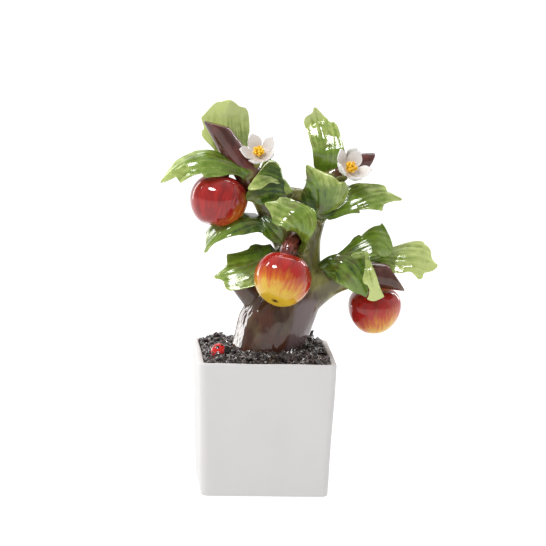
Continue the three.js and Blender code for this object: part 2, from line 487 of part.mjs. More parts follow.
function makeBlossom({ centre, faces, reach, turn, stem }, grow = 0) {
  const look = vector(faces).normalize();
  const right = new THREE.Vector3().crossVectors(new THREE.Vector3(0, 0, 1), look).normalize();
  const up = new THREE.Vector3().crossVectors(look, right);
  const middle = vector(centre);
  const spot = (angle, out, forward) => middle.clone()
    .addScaledVector(right, Math.cos(angle) * out)
    .addScaledVector(up, Math.sin(angle) * out)
    .addScaledVector(look, forward)
    .toArray();
  const heart = new THREE.SphereGeometry(reach * HEART.radius + grow, 8, 6);
  heart.translate(...spot(0, 0, reach * HEART.forward));
  let flower = toSolid(heart).add(makeLimb({ route: stem, sides: 6, steps: 3 }, grow));
  for (let k = 0; k < PETALS; k += 1) {
    const angle = THREE.MathUtils.degToRad(turn + k * 360 / PETALS);
    const rib = PETAL_RIB.map(([out, forward]) => spot(angle, reach * out, reach * forward));
    const half = plainMargin(PETAL_SHARES.map((share) => share * reach), PETAL_STATIONS, reach);
    const petal = { rib, left: half, right: half, faces: look.toArray(), fold: [PETAL_FOLD, PETAL_FOLD],
      thick: PETAL_THICK };
    flower = flower.add(makeLeaf(petal, grow));
  }
  return flower;
}

function makeLadybird() {
  const { foot, long, broad, high, widest, head, headOut, headUp } = LADYBIRD;
  const shell = new THREE.SphereGeometry(1, 12, 8);
  shell.scale(long / 2, broad / 2, high * (1 - widest));
  shell.translate(foot[0], foot[1], foot[2] + high * widest);
  const face = new THREE.SphereGeometry(head, 8, 6);
  face.translate(foot[0] + headOut, foot[1], foot[2] + headUp);
  return toSolid(shell).add(toSolid(face)).trimByPlane([0, 0, 1], foot[2]);
}

// The leaves of a far side mass, worked out from its stem's end by the seeded rule.
function growLeaves({ stem, count, heading, spread, rise, climb, long, wide, seed }) {
  const random = seeded(seed);
  const draw = ([least, more]) => least + random() * more;
  const halfWidths = () => PLAIN_LEAF.map((share) => share * wide * draw(CHANCE.wide));
  const from = stem[stem.length - 1];
  const leaves = [];
  for (let k = 0; k < count; k += 1) {
    const step = k - (count - 1) / 2;
    const azimuth = THREE.MathUtils.degToRad(heading + step * spread + (random() - 0.5) * CHANCE.turn);
    const lift = THREE.MathUtils.degToRad(rise + step * climb + (random() - 0.5) * CHANCE.turn);
    const length = long * draw(CHANCE.long);
    const droop = length * draw(CHANCE.droop);
    const out = new THREE.Vector3(Math.cos(azimuth) * Math.cos(lift), Math.sin(azimuth) * Math.cos(lift),
      Math.sin(lift));
    const at = (share, lower) => [from[0] + out.x * length * share, from[1] + out.y * length * share,
      from[2] + out.z * length * share - lower];
    const lean = ARCH.outlook - Math.sin(lift);
    leaves.push({
      rib: [at(0, 0), at(0.34, -length * ARCH.early), at(0.7, -length * ARCH.late), at(1, droop)],
      left: plainMargin(halfWidths(), STATIONS, length, LEAF.bite),
      right: plainMargin(halfWidths(), STATIONS, length, LEAF.bite, LEAF.lag),
      faces: [out.x * lean, out.y * lean, 1],
      fold: [draw(CHANCE.fold), draw(CHANCE.fold)],
    });
  }
  return leaves;
}

// Solids already placed, each grown by the gap, which what comes after is cut clear of.
const taken = [];

function clearOf(solid) {
  const box = solid.boundingBox();
  const meets = (other) => [0, 1, 2].every((k) => other.min[k] < box.max[k] && other.max[k] > box.min[k]);
  return taken.filter((entry) => meets(entry.box))
    .reduce((rest, entry) => rest.subtract(entry.solid), solid);
}

const larger = (one, other) => (other.volume() > one.volume() ? other : one);
const largest = (solid) => solid.decompose().reduce(larger);

// One body, without loose scraps or needless small faces.
function whole(solid) {
  return largest(largest(solid).simplify(FINEST));
}

const tree = new THREE.Group();

function place(name, solid, kind) {
  const [colour, roughness] = COLOURS[kind];
  const material = new THREE.MeshStandardMaterial({ color: colour, roughness, metalness: 0 });
  const mesh = new THREE.Mesh(toGeometry(solid), material);
  mesh.name = name;
  tree.add(mesh);
}

function hold(grown) {
  taken.push({ solid: grown, box: grown.boundingBox() });
}

// A mass is its stem, a twig for each leaf and the leaves, fused, and cut clear of what is there.
function makeMass(stem, leaves) {
  const end = stem[stem.length - 1];
  const parts = (grow) => leaves.map((leaf) => makeLeaf(leaf, grow).add(makeTwig(end, leaf, grow)));
  const stemOf = (grow) => makeLimb({ route: stem, sides: 8, steps: 2 }, grow);
  const kept = parts(0).map((solid) => clearOf(solid).volume() > solid.volume() * (1 - MOST_LOST));
  const join = (grow) => parts(grow).filter((_, k) => kept[k])
    .reduce((mass, part) => mass.add(part), stemOf(grow));
  return { solid: join(0), grown: join(GAP) };
}

place('pot', makePot(), 'pot');
const soil = makeSoil();
place('soil', soil, 'soil');
for (const [name, spec] of Object.entries(LIMBS)) {
  place(name, whole(clearOf(makeLimb(spec))), 'bark');
  hold(makeLimb(spec, GAP));
}
for (const [name, spec] of Object.entries(APPLES)) {
  place(name, whole(clearOf(makeApple(spec))), 'apple');
  hold(makeApple(spec, GAP));
}
for (const [name, spec] of Object.entries(BLOSSOMS)) {
  place(name, whole(clearOf(makeBlossom(spec))), 'blossom');
  hold(makeBlossom(spec, GAP));
}
for (const [name, spec] of Object.entries(FRONT_MASSES)) {
  const { solid, grown } = makeMass(spec.stem, spec.leaves.map((leaf) => LEAVES[leaf]));
  place(name, whole(clearOf(solid)), 'leaf');
  hold(grown);
}
for (const [name, spec] of Object.entries(BACK_MASSES)) {
  const { solid, grown } = makeMass(spec.stem, growLeaves(spec));
  place(name, whole(clearOf(solid)), 'back');
  hold(grown);
}
place('ladybird', whole(clearOf(makeLadybird()).subtract(soil.translate([0, 0, GAP]))), 'ladybird');

export default tree;
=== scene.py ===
import math

import bmesh
import bpy
import numpy as np
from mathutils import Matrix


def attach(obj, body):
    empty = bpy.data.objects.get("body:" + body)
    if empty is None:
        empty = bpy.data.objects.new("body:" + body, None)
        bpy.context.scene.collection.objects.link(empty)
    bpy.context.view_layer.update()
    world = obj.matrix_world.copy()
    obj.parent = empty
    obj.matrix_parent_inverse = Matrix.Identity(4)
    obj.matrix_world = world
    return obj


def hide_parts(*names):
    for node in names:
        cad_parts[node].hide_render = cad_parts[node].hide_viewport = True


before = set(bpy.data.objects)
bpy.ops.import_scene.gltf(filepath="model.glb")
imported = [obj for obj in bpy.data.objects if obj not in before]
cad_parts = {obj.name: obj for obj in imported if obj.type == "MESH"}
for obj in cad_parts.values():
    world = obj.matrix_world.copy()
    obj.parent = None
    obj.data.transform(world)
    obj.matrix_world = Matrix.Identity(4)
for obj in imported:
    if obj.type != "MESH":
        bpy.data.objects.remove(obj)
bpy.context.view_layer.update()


# The pot. White earthenware cast as a square that narrows to its foot, with soft corners and a
# rounded lip, fired under a dull white glaze that thins to a warm brown line inside the lip.
POT = {"rim": 85.0, "foot": 78.4, "high": 83.7, "wall": 3.6, "floor": 4.0, "corner": 4.5, "inner_corner": 3.5}
LIP_ROUND, FOOT_ROUND = 1.2, 1.4
# How the corners tighten round the foot and over the lip, and how full the lip is.
FOOT_CORNER, LIP_CORNER, LIP_FULL = 0.6, 0.28, 0.7
# How the cast sides and lip waver: by how much, how far apart, and over which heights it sets in.
SIDE_WAVER = {"by": 0.22, "apart": 17, "from": 0, "over": 10}
LIP_WAVER = {"by": 0.16, "apart": 12, "from": 60, "over": 20}
ANY_START = (0, 6.3)
POT_WHITE = (0.635, 0.622, 0.617, 1)
POT_CREAM = (0.62, 0.599, 0.583, 1)
LIP_BROWN = (0.20, 0.10, 0.06, 1)


class Shade:
    """A socket in a glaze. Signs between shades add the nodes that work the value out."""

    def __init__(self, socket):
        self.socket = socket

    def make(self, kind, settings, sockets, out=0):
        """Adds a node of this kind: its settings first, then its sockets' values and links."""
        made = self.socket.id_data.nodes.new(kind)
        for name, value in settings.items():
            setattr(made, name, value)
        plug_in(made, sockets)
        return Shade(made.outputs[out])

    def sum_of(self, operation, one, other):
        return self.make("ShaderNodeMath", {"operation": operation}, {0: one, 1: other})

    def __add__(self, other):
        return self.sum_of("ADD", self, other)

    def __radd__(self, other):
        return self.sum_of("ADD", other, self)

    def __sub__(self, other):
        return self.sum_of("SUBTRACT", self, other)

    def __rsub__(self, other):
        return self.sum_of("SUBTRACT", other, self)

    def __mul__(self, other):
        return self.sum_of("MULTIPLY", self, other)

    def __rmul__(self, other):
        return self.sum_of("MULTIPLY", other, self)

    def stretched(self, x, y, z):
        """The same direction or place, made longer or shorter along each axis."""
        return self.make("ShaderNodeVectorMath", {"operation": "MULTIPLY"}, {0: self, 1: (x, y, z)})

    def axis(self, number):
        return self.make("ShaderNodeSeparateXYZ", {}, {0: self}, number)

    def cloudy(self, size, detail=2.0, roughness=0.5):
        """Soft noise from 0 to 1 at this place, with patches of about this size."""
        sockets = {"Vector": self, "Scale": 1 / size, "Detail": detail, "Roughness": roughness}
        return self.make("ShaderNodeTexNoise", {}, sockets)

    def rise(self, low, high):
        """0 below the low value, 1 above the high one and smooth between."""
        sockets = {"Value": self, "From Min": low, "From Max": high}
        return self.make("ShaderNodeMapRange", {"interpolation_type": "SMOOTHSTEP"}, sockets)

    def blend(self, one, other):
        """The first colour where this value is 0, and the other where it is 1."""
        return self.make("ShaderNodeMix", {"data_type": "RGBA"}, {0: self, 6: one, 7: other}, 2)

    def bumps(self, depth, strength=1.0):
        """The surface raised by this value, by up to this depth in millimetres."""
        sockets = {"Height": self, "Distance": depth / 1000, "Strength": strength}
        return self.make("ShaderNodeBump", {}, sockets)


def plug_in(node, sockets):
    """Links each of these sockets to its shade, or sets it to its value."""
    for name, value in sockets.items():
        if isinstance(value, Shade):
            node.id_data.links.new(value.socket, node.inputs[name])
        else:
            node.inputs[name].default_value = value


def new_glaze(name):
    """A new glaze, and the place on the object in millimetres for its patterns."""
    glaze = bpy.data.materials.new(name)
    glaze.use_nodes = True
    place = Shade(glaze.node_tree.nodes.new("ShaderNodeTexCoord").outputs["Object"])
    return glaze, place.stretched(1000, 1000, 1000)


def dipped(place, name, out):
    """What the mesh itself carries at each point under this name: 1 is a vector and 2 a value."""
    return place.make("ShaderNodeAttribute", {"attribute_name": name}, {}, out)


def fire(glaze, sockets):
    """Sets the finished surface of a glaze."""
    plug_in(glaze.node_tree.nodes["Principled BSDF"], sockets)


def rounded_square(side, corner, run=12, bend=8):
    """A ring of points round a square with rounded corners, anticlockwise."""
    flat, out = side / 2 - corner, side / 2
    middles = [(flat, flat), (-flat, flat), (-flat, -flat), (flat, -flat)]
    next_starts = [(-flat, out), (-out, -flat), (flat, -out), (out, flat)]
    ring = []
    for k, ((x, y), (next_x, next_y)) in enumerate(zip(middles, next_starts)):
        for turn in np.linspace(k * math.pi / 2, (k + 1) * math.pi / 2, bend + 1):
            ring.append((x + corner * math.cos(turn), y + corner * math.sin(turn)))
        last_x, last_y = ring[-1]
        for step in range(1, run):
            ring.append((last_x + (next_x - last_x) * step / run, last_y + (next_y - last_y) * step / run))
    return np.array(ring)


def skin(rings):
    """Points and faces of a closed skin over rings of equally many points, with a cap on each end."""
    rings = np.asarray(rings, float)
    many, around = rings.shape[:2]
    row, place = np.meshgrid(np.arange(many - 1) * around, np.arange(around), indexing="ij")
    after = (place + 1) % around
    quads = np.stack([row + place, row + after, row + around + after, row + around + place], -1)
    faces = quads.reshape(-1, 4).tolist()
    faces.append(list(range(around))[::-1])
    faces.append(list(range((many - 1) * around, many * around)))
    return rings.reshape(-1, 3), faces


def make_piece(name, points, faces, glaze, **carried):
    """A smooth mesh piece from points in millimetres, with the values that its points carry."""
    mesh = bpy.data.meshes.new(name)
    mesh.from_pydata((np.asarray(points) / 1000).tolist(), [], faces)
    for label, values in carried.items():
        values = np.asarray(values, np.float32)
        kind, key = ("FLOAT_VECTOR", "vector") if values.ndim == 2 else ("FLOAT", "value")
        mesh.attributes.new(label, kind, "POINT").data.foreach_set(key, values.ravel())
    mesh.polygons.foreach_set("use_smooth", np.ones(len(mesh.polygons), bool))
    mesh.materials.append(glaze)
    piece = bpy.data.objects.new(name, mesh)
    bpy.context.scene.collection.objects.link(piece)
    return piece


def waver(points, size, seed, waves=5, finer=0.4, evened=3.2):
    """A slow unevenness of about -1 to 1, as clay that was pressed by hand has: waves that lean anyhow."""
    draw = np.random.default_rng(seed)
    total = np.zeros(len(points))
    for k in range(waves):
        lean = draw.normal(size=3)
        run = points @ (lean / np.linalg.norm(lean)) / size * (1 + finer * k)
        total += np.sin(run + draw.uniform(*ANY_START))
    return total / evened


def set_in(z, how):
    """How much of a waver there is at a height, from none to the whole of it."""
    return np.clip((z - how["from"]) / how["over"], 0, 1) * how["by"]


def pot_side(z):
    """The pot's side at a height, without its foot's and lip's rounding."""
    return POT["foot"] + (POT["rim"] - POT["foot"]) * z / POT["high"]


pot_rings, pot_inside = [], []
for turn in np.linspace(0, math.pi / 2, 6):
    inset = FOOT_ROUND * (1 - math.sin(turn))
    z = FOOT_ROUND * (1 - math.cos(turn))
    pot_rings.append((pot_side(z) - 2 * inset, POT["corner"] - inset * FOOT_CORNER, z, 0))
for z in np.linspace(POT["floor"], POT["high"] - LIP_ROUND, 24):
    pot_rings.append((pot_side(z), POT["corner"], z, 0))
for turn in np.linspace(0.25, math.pi, 11):
    across = POT["wall"] / 2 * (1 - math.cos(turn))
    z = POT["high"] - LIP_ROUND + LIP_ROUND * math.sin(turn) ** LIP_FULL
    corner = POT["corner"] - across * LIP_CORNER
    pot_rings.append((POT["rim"] - 2 * across, corner, z, across / POT["wall"]))
for z in np.linspace(POT["high"] - 2, POT["floor"], 8):
    pot_rings.append((pot_side(z) - 2 * POT["wall"], POT["inner_corner"], z, 1))
pot_skin = []
for side, corner, z, inside in pot_rings:
    ring = rounded_square(side, corner)
    pot_skin.append(np.column_stack([ring, np.full(len(ring), z)]))
    pot_inside += [inside] * len(ring)
pot_points, pot_faces = skin(pot_skin)
pot_outward = pot_points * (1, 1, 0) / np.linalg.norm(pot_points[:, :2], axis=1)[:, None]
side_waver = waver(pot_points, SIDE_WAVER["apart"], 3) * set_in(pot_points[:, 2], SIDE_WAVER)
pot_points = pot_points + pot_outward * side_waver[:, None]
pot_points[:, 2] += waver(pot_points, LIP_WAVER["apart"], 4) * set_in(pot_points[:, 2], LIP_WAVER)

pot_glaze, place = new_glaze("dull_white_glaze")
warm = place.cloudy(26, 3).rise(0.45, 0.75) * 0.5
lip_line = dipped(place, "inside", 2).rise(0.80, 0.99)
body_white = warm.blend(POT_WHITE, POT_CREAM)
fire(pot_glaze, {
    "Base Color": lip_line.blend(body_white, LIP_BROWN),
    "IOR": 1.4,
    "Roughness": 0.90 + 0.08 * place.cloudy(9, 2),
    "Normal": place.cloudy(14, 2).bumps(0.35),
})
pot = make_piece("pot_body", pot_points, pot_faces, pot_glaze, inside=pot_inside)
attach(pot, "root")
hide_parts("pot")


# The soil. A bed of dark brown slip with crumbs of fired clay strewn over it while wet, heaped a
# little round the trunk and in the two back corners, and glazed so that every crumb glints.
SOIL = {"level": 82.0, "mound": 85.0, "half": 38.9, "mound_foot": 37.0, "mound_top": 26.0}
BED = {"under": 0.5, "rough": 0.35, "lines": 79, "foot": 70, "foot_share": 0.985}
# The heaps: x, y, how high and how wide.
HEAPS = [(30, 25, 3.4, 7.5), (-31, 26, 1.8, 6), (-12, 28, 0.8, 8)]
CRUMB = {"many": 950, "long": (1.9, 4.4), "broad": (1.3, 2.5), "high": (1.0, 1.9), "large": 1.35,
         "large_share": 0.12, "uneven": 0.22, "tip": 0.6, "up": (-0.2, 1.1)}
# How far out crumbs are strewn, how far they reach at the wall, and the round where the trunk stands.
STREWN, CRUMB_EDGE = 37.8, 38.7
TRUNK_FOOT = {"x": 4, "round": 17}
SLIP_BROWN = (0.012, 0.009, 0.007, 1)
CRUMB_DARK, CRUMB_BROWN = (0.024, 0.018, 0.017, 1), (0.170, 0.130, 0.120, 1)


def soil_height(x, y):
    """The level of the bed, from the edge at the pot's wall up to the mound and the heaps."""
    far = np.maximum(np.abs(x), np.abs(y))
    up = np.clip((SOIL["mound_foot"] - far) / (SOIL["mound_foot"] - SOIL["mound_top"]), 0, 1)
    level = SOIL["level"] + (SOIL["mound"] - SOIL["level"]) * up * up * (3 - 2 * up)
    for cx, cy, high, wide in HEAPS:
        level = level + high * np.exp(-((x - cx) ** 2 + (y - cy) ** 2) / (2 * wide ** 2))
    return level


grain = np.random.default_rng(41)
lines = BED["lines"]
bed_steps = np.linspace(-SOIL["half"], SOIL["half"], lines)
bed_x, bed_y = np.meshgrid(bed_steps, bed_steps, indexing="ij")
bed_z = soil_height(bed_x, bed_y) - BED["under"] + grain.uniform(-BED["rough"], BED["rough"], bed_x.shape)
bed_top = np.stack([bed_x, bed_y, bed_z], -1)
bed_foot = bed_top * (1, 1, 0) * BED["foot_share"] + (0, 0, BED["foot"])
bed_points = np.concatenate([bed_top.reshape(-1, 3), bed_foot.reshape(-1, 3)])
numbers = np.arange(lines * lines).reshape(lines, lines)
bed_quads = np.stack([numbers[:-1, :-1], numbers[1:, :-1], numbers[1:, 1:], numbers[:-1, 1:]], -1)
bed_quads = bed_quads.reshape(-1, 4)
bed_faces = bed_quads.tolist() + (bed_quads[:, ::-1] + numbers.size).tolist()
edge = [*numbers[:, 0], *numbers[-1, 1:], *numbers[-2::-1, -1], *numbers[0, -2:0:-1]]
bed_faces += [[a, a + numbers.size, b + numbers.size, b] for a, b in zip(edge, edge[1:] + edge[:1])]

crumb_glaze, place = new_glaze("dark_soil_glaze")
speck = place.cloudy(1.7, 3)
fire(crumb_glaze, {
    "Base Color": speck.rise(0.46, 0.70).blend(CRUMB_DARK, CRUMB_BROWN),
    "IOR": 1.62,
    "Roughness": 0.03 + 0.14 * place.cloudy(2.4, 2),
    "Normal": place.cloudy(0.7, 3).bumps(0.12),
})
bed_glaze, place = new_glaze("soil_slip")
fire(bed_glaze, {
    "Base Color": place.cloudy(3, 3).rise(0.4, 0.7).blend(SLIP_BROWN, CRUMB_BROWN),
    "Roughness": 0.15 + 0.2 * place.cloudy(1.5, 2),
    "Normal": place.cloudy(1.2, 4).bumps(0.4),
})
bed = make_piece("soil_bed", bed_points, bed_faces, bed_glaze)
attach(bed, "root")
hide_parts("soil")

shaping = bmesh.new()
bmesh.ops.create_icosphere(shaping, subdivisions=1, radius=1)
shaping.verts.index_update()
ball_points = np.array([corner.co[:] for corner in shaping.verts])
ball_faces = np.array([[corner.index for corner in face.verts] for face in shaping.faces])
shaping.free()
crumb_points = []
while len(crumb_points) < CRUMB["many"]:
    x, y = grain.uniform(-STREWN, STREWN, 2)
    if (x - TRUNK_FOOT["x"]) ** 2 + y ** 2 < TRUNK_FOOT["round"] ** 2:
        continue
    long = grain.uniform(*CRUMB["long"]) * (CRUMB["large"] if grain.random() < CRUMB["large_share"] else 1)
    size = np.array([long, grain.uniform(*CRUMB["broad"]), grain.uniform(*CRUMB["high"])])
    turn, tip = grain.uniform(0, 2 * math.pi), grain.normal(0, CRUMB["tip"])
    lump = ball_points * (1 + grain.uniform(-CRUMB["uneven"], CRUMB["uneven"], (len(ball_points), 1))) * size
    tipped = np.column_stack([lump[:, 0] * math.cos(tip) - lump[:, 2] * math.sin(tip), lump[:, 1],
                              lump[:, 0] * math.sin(tip) + lump[:, 2] * math.cos(tip)])
    turned = np.column_stack([tipped[:, 0] * math.cos(turn) - tipped[:, 1] * math.sin(turn),
                              tipped[:, 0] * math.sin(turn) + tipped[:, 1] * math.cos(turn), tipped[:, 2]])
    spot = turned + (x, y, soil_height(x, y) + grain.uniform(*CRUMB["up"]))
    spot[:, :2] = np.clip(spot[:, :2], -CRUMB_EDGE, CRUMB_EDGE)
    crumb_points.append(spot)
crumb_faces = [ball_faces + k * len(ball_points) for k in range(len(crumb_points))]
crumb_points, crumb_faces = np.concatenate(crumb_points), np.concatenate(crumb_faces).tolist()
crumbs = make_piece("soil_crumbs", crumb_points, crumb_faces, crumb_glaze)
crumbs.data.polygons.foreach_set("use_smooth", np.zeros(len(crumbs.data.polygons), bool))
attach(crumbs, "root")
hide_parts("soil")


# The trunk and boughs. Rolled and pinched clay, joined while soft so that every fork is a fillet, with
# slanting knife cuts at the stubs. Brown glaze below and on the stubs, with a purple-grey reflection painted
# low on the trunk's right as a painted sheen, runs into green where leaves grow.
STEM_FOOT = 1.15
JOIN_GRAIN, JOIN_STROKES, JOIN_RUB = 0.75, 9, 0.5
# A route is x, y, z and radius, deep the depth as a share of the breadth and green how green it is, at even
# steps or throughout. A cut is a place on the knife's plane and the way the cut end faces.
LIMBS = {
    "trunk": {
        "route": [(-1.5, 0, 80, 20), (1.5, 0, 90, 20.9), (4.5, 0, 98, 22.6), (9, 0, 106, 22.2),
                  (17, 0, 122, 18.5), (21, 0, 138, 12.6), (24, 1, 156, 9.6), (28, 1, 172, 9),
                  (31, 1, 187, 7)],
        "green": [0, 0, 0, 0.04, 0.3, 0.9, 1, 1, 1], "flutes": 0.02, "flank_top": 0.45,
        "deep": [0.95, 0.90, 0.82, 0.82, 0.84, 0.84, 0.84, 0.84, 0.84],
        "cuts": [((0, 0, 83.4), (0, 0, -1))],
    },
    "bough_low_left": {
        "route": [(4, 2, 110, 11), (-8, 3, 121, 9.4), (-17, 5, 131, 8), (-24, 7, 142, 6.8)],
        "green": [0, 0, 0.1, 0.1], "deep": 0.95, "flutes": 0.03, "cuts": [((-19, 6, 136), (-0.45, 0, 0.9))],
    },
    "bough_upper_left": {
        "route": [(17, 2, 134, 10.5), (12.5, 2, 152, 8.6), (5, 1, 166, 8.2), (-2, 0, 180, 8),
                  (-12, -1, 194, 8.2), (-24, -1, 211, 7.2), (-38, -2, 232, 5.4)],
        "green": [0.9, 0.9, 0.8, 0.6, 0.25, 0, 0], "deep": 0.9, "flutes": 0.03,
        "cuts": [((-34.5, -2, 226.2), (0.24, 0, 0.97))],
    },
    "bough_upper_right": {
        "route": [(27, 1, 168, 8.2), (34, 3, 185, 7.4), (45, 5, 197, 6), (57, 6.5, 202.6, 5),
                  (69, 7.5, 203.8, 4.6)],
        "green": [1, 0.9, 0.2, 0, 0], "deep": 0.9, "flutes": 0.03,
        "cuts": [((64.6, 7, 203.3), (0.9, 0, -0.42))],
    },
    "bough_right": {
        "route": [(20, 0, 116, 13), (34, 0, 127, 11.5), (48, 0, 132.5, 9.4), (66, 0, 133, 8),
                  (88, 0, 130, 7.4)],
        "green": [0.4, 0.75, 0.9, 0.3, 0], "deep": 0.9, "flutes": 0.03,
        "cuts": [((81.5, 0, 131.5), (0.82, 0, 0.58))],
    },
    "twig_crotch": {
        "route": [(30, 0, 178, 5), (21, -1, 182, 4.4), (13, -1, 183, 4), (3, 0, 180, 4)],
        "green": [1, 1, 1, 1], "deep": 1, "flutes": 0.03, "cuts": [],
    },
}
# The trunk's foot is patted flat at the front left and the right: shares of its radius at turns in degrees.
FLANK = [(180, 1), (190, 0.955), (200, 0.942), (210, 0.957), (220, 1.005), (228, 1.055), (236, 1.065),
         (252, 1.03), (275, 1), (300, 1.02), (312, 1.06), (320, 1.03), (330, 0.985), (340, 0.965),
         (350, 0.98), (360, 1)]
FLANK_FADE = 0.12
# The soft flutes round a limb: how many, and their share of its flutes' depth. They twist up to this angle.
FLUTES = [(3, 0.6), (5, 0.45), (2, 0.35)]
FLUTE_TWIST = 6
# The stems of the masses of leaves, x, y, z and radius, which grow out of the limbs.
FRONT_STEMS = {
    "leaves_top_left": [(-14, 2, 192, 4), (-18, 7, 195, 3.4)],
    "leaves_upper_left": [(-12, -2, 193, 4), (-14, -7, 196, 3.4)],
    "leaves_middle": [(14, 0, 184, 3.2), (13, -7, 184, 3)],
    "leaves_strip": [(-9, 1, 183, 3), (-2, 4, 184, 2.6)],
    "leaves_top_right": [(33, 2, 184, 4), (34, 5, 191, 3.2)],
    "leaves_upper_right": [(29, 1, 168, 5), (33, -7, 170, 4)],
    "leaves_right": [(34, 0, 132, 5), (37, -5, 139, 4)],
    "leaves_far_right": [(62, 0, 132, 4), (65, 4, 140, 3.4)],
    "leaves_low_left": [(16, 0, 148, 4.4), (7, -8, 147, 3.4)],
    "leaves_under_left": [(2, 1, 164, 4.4), (-1, -8, 166, 3.4)],
    "leaves_front": [(23, 0, 150, 4.4), (20, -15, 151, 3.4)],
}
BACK_STEMS = {
    "leaves_back_upper_left": [(-14, 2, 194, 4), (-15, 10, 198, 3.4)],
    "leaves_back_left": [(-6, 3, 181, 4), (-9, 11, 185, 3.4)],
    "leaves_back_crown": [(33, 3, 184, 4), (35, 12, 186, 3.4)],
    "leaves_back_middle": [(25, 4, 164, 4.4), (27, 13, 166, 3.6)],
    "leaves_back_stem": [(20, 4, 142, 4.4), (20, 13, 147, 3.6)],
    "leaves_back_right": [(54, 4, 134, 4.4), (55, 12, 137, 3.4)],
    "leaves_back_low": [(-13, 6, 130, 4.4), (-13, 14, 134, 3.4)],
}
# How softly one limb's green gives way to the next one's on the joined wood.
SPRAY_SOFT, SPRAY_SHARP = 0.05, 7
RED_HEIGHTS = (125, 155)
# The painted sheen, a purple-grey reflection painted low on the trunk's right: from and over which share of
# the trunk's radius, leaning with height, up to its top.
PAINTED_SHEEN = {"from": 0.22, "over": 0.35, "lean": 0.012, "lean_from": 100, "top": 124, "fade": 10, "front_of": 10}
BARK_BROWN, BARK_DARK = (0.105, 0.036, 0.018, 1), (0.048, 0.017, 0.011, 1)
BARK_OLIVE, BARK_PAINTED_SHEEN = (0.110, 0.074, 0.032, 1), (0.150, 0.100, 0.100, 1)
BARK_RED = (0.135, 0.034, 0.028, 1)
STALK_RED, STALK_DARK = (0.220, 0.050, 0.036, 1), (0.090, 0.020, 0.016, 1)
STEM_GREEN, STEM_DEEP = (0.230, 0.225, 0.060, 1), (0.110, 0.098, 0.032, 1)


def smooth_line(points, t):
    """Places at shares t of a smooth line through points, with more bend where they are far apart."""
    points = np.asarray(points, float)
    line = np.vstack([2 * points[0] - points[1], points, 2 * points[-1] - points[-2]])
    last = len(points) - 1
    k = np.minimum((np.asarray(t) * last).astype(int), last - 1)
    part = (np.asarray(t) * last - k)[:, None]
    p0, p1, p2, p3 = line[k], line[k + 1], line[k + 2], line[k + 3]
    d0, d1, d2 = (np.linalg.norm(b - a, axis=1)[:, None] ** 0.5 for a, b in ((p0, p1), (p1, p2), (p2, p3)))
    out = ((p1 - p0) / d0 - (p2 - p0) / (d0 + d1) + (p2 - p1) / d1) * d1
    into = ((p2 - p1) / d1 - (p3 - p1) / (d1 + d2) + (p3 - p2) / d2) * d1
    bend, close = -3 * p1 + 3 * p2 - 2 * out - into, 2 * p1 - 2 * p2 + out + into
    return p1 + out * part + bend * part ** 2 + close * part ** 3


def unit(ways):
    """The same ways with a length of 1."""
    return ways / np.linalg.norm(ways, axis=-1, keepdims=True)


def spread(values, t):
    """Values that are given at even steps of a limb, at shares t of it."""
    return np.interp(t * (len(values) - 1), np.arange(len(values)), values)


def limb_rings(route, deep=1.0, sides=28, steps=24, flutes=0.0, seed=1, flank_top=0.0):
    """Rings round a limb's line, with soft flutes that twist as they climb and a flank patted flat."""
    route = np.asarray(route, float)
    t = np.linspace(0, 1, steps + 1)
    middle = smooth_line(route[:, :3], t)
    along = unit(np.gradient(middle, axis=0))
    run = unit(middle[-1] - middle[0])
    level = np.array([0, 0, -1.0]) if abs(run[1]) > 0.8 else np.array([0, 1.0, 0])
    across = unit(np.cross(level, along))
    away = np.cross(along, across)
    deep = spread(np.ones(len(route)) * deep, t)[:, None]
    turn = np.linspace(0, 2 * math.pi, sides, endpoint=False)
    draw = np.random.default_rng(seed)
    swell = np.zeros((len(t), sides))
    for count, share in FLUTES:
        twist = draw.uniform(-FLUTE_TWIST, FLUTE_TWIST) * t[:, None]
        swell += share * np.sin(count * turn[None, :] + twist + draw.uniform(*ANY_START))
    flank = np.interp(np.degrees(turn), *np.transpose(FLANK)) - 1
    flat = np.clip((flank_top - t) / FLANK_FADE, 0, 1)[:, None] * flank
    reach = spread(route[:, 3], t)[:, None] * (1 + flutes * swell + flat)
    return (middle[:, None] + across[:, None] * (np.cos(turn) * reach)[:, :, None]
            + away[:, None] * (np.sin(turn) * reach * deep)[:, :, None]), along


def knife_cut(rings, along, at, faces, least=0.25):
    """Slides whatever lies past the knife's plane back onto it, along the limb."""
    faces = unit(np.asarray(faces, float))
    past = (rings - np.asarray(at, float)) @ faces
    slope = np.maximum(np.abs(along @ faces), least) * np.sign(along @ faces + 1e-9)
    back = np.clip(past, 0, None) / slope[:, None]
    return rings - along[:, None] * back[:, :, None]


def gather(parts):
    """One set of points and faces from several, with whatever their points carry."""
    points, faces, carried, before = [], [], [], 0
    for part in parts:
        points.append(part[0])
        faces += [[v + before for v in face] for face in part[1]]
        carried.append(part[2:])
        before += len(part[0])
    return [np.concatenate(points), faces] + [np.concatenate(values) for values in zip(*carried)]


# The clay parts before they are joined, and along each one its places, radius and green.
wood_parts, wood_lines = [], []
for number, limb in enumerate(LIMBS.values()):
    route = np.array(limb["route"], float)
    rings, along = limb_rings(route, limb["deep"], 48, 60, limb["flutes"], 7 + number,
                              limb.get("flank_top", 0))
    for at, faces in limb["cuts"]:
        rings = knife_cut(rings, along, at, faces)
    wood_parts.append(skin(rings))
    t = np.linspace(0, 1, 40)
    wood_lines.append(np.column_stack([smooth_line(route[:, :3], t), spread(route[:, 3], t),
                                       spread(limb["green"], t)]))
for foot, end in (*FRONT_STEMS.values(), *BACK_STEMS.values()):
    wood_parts.append(skin(limb_rings([(*foot[:3], foot[3] * STEM_FOOT), end], 1, 20, 8)[0]))
    wood_lines.append(np.column_stack([np.linspace(foot, end, 8), np.ones(8)]))
wood_points, wood_faces = gather(wood_parts)
wood_lines = np.concatenate(wood_lines)

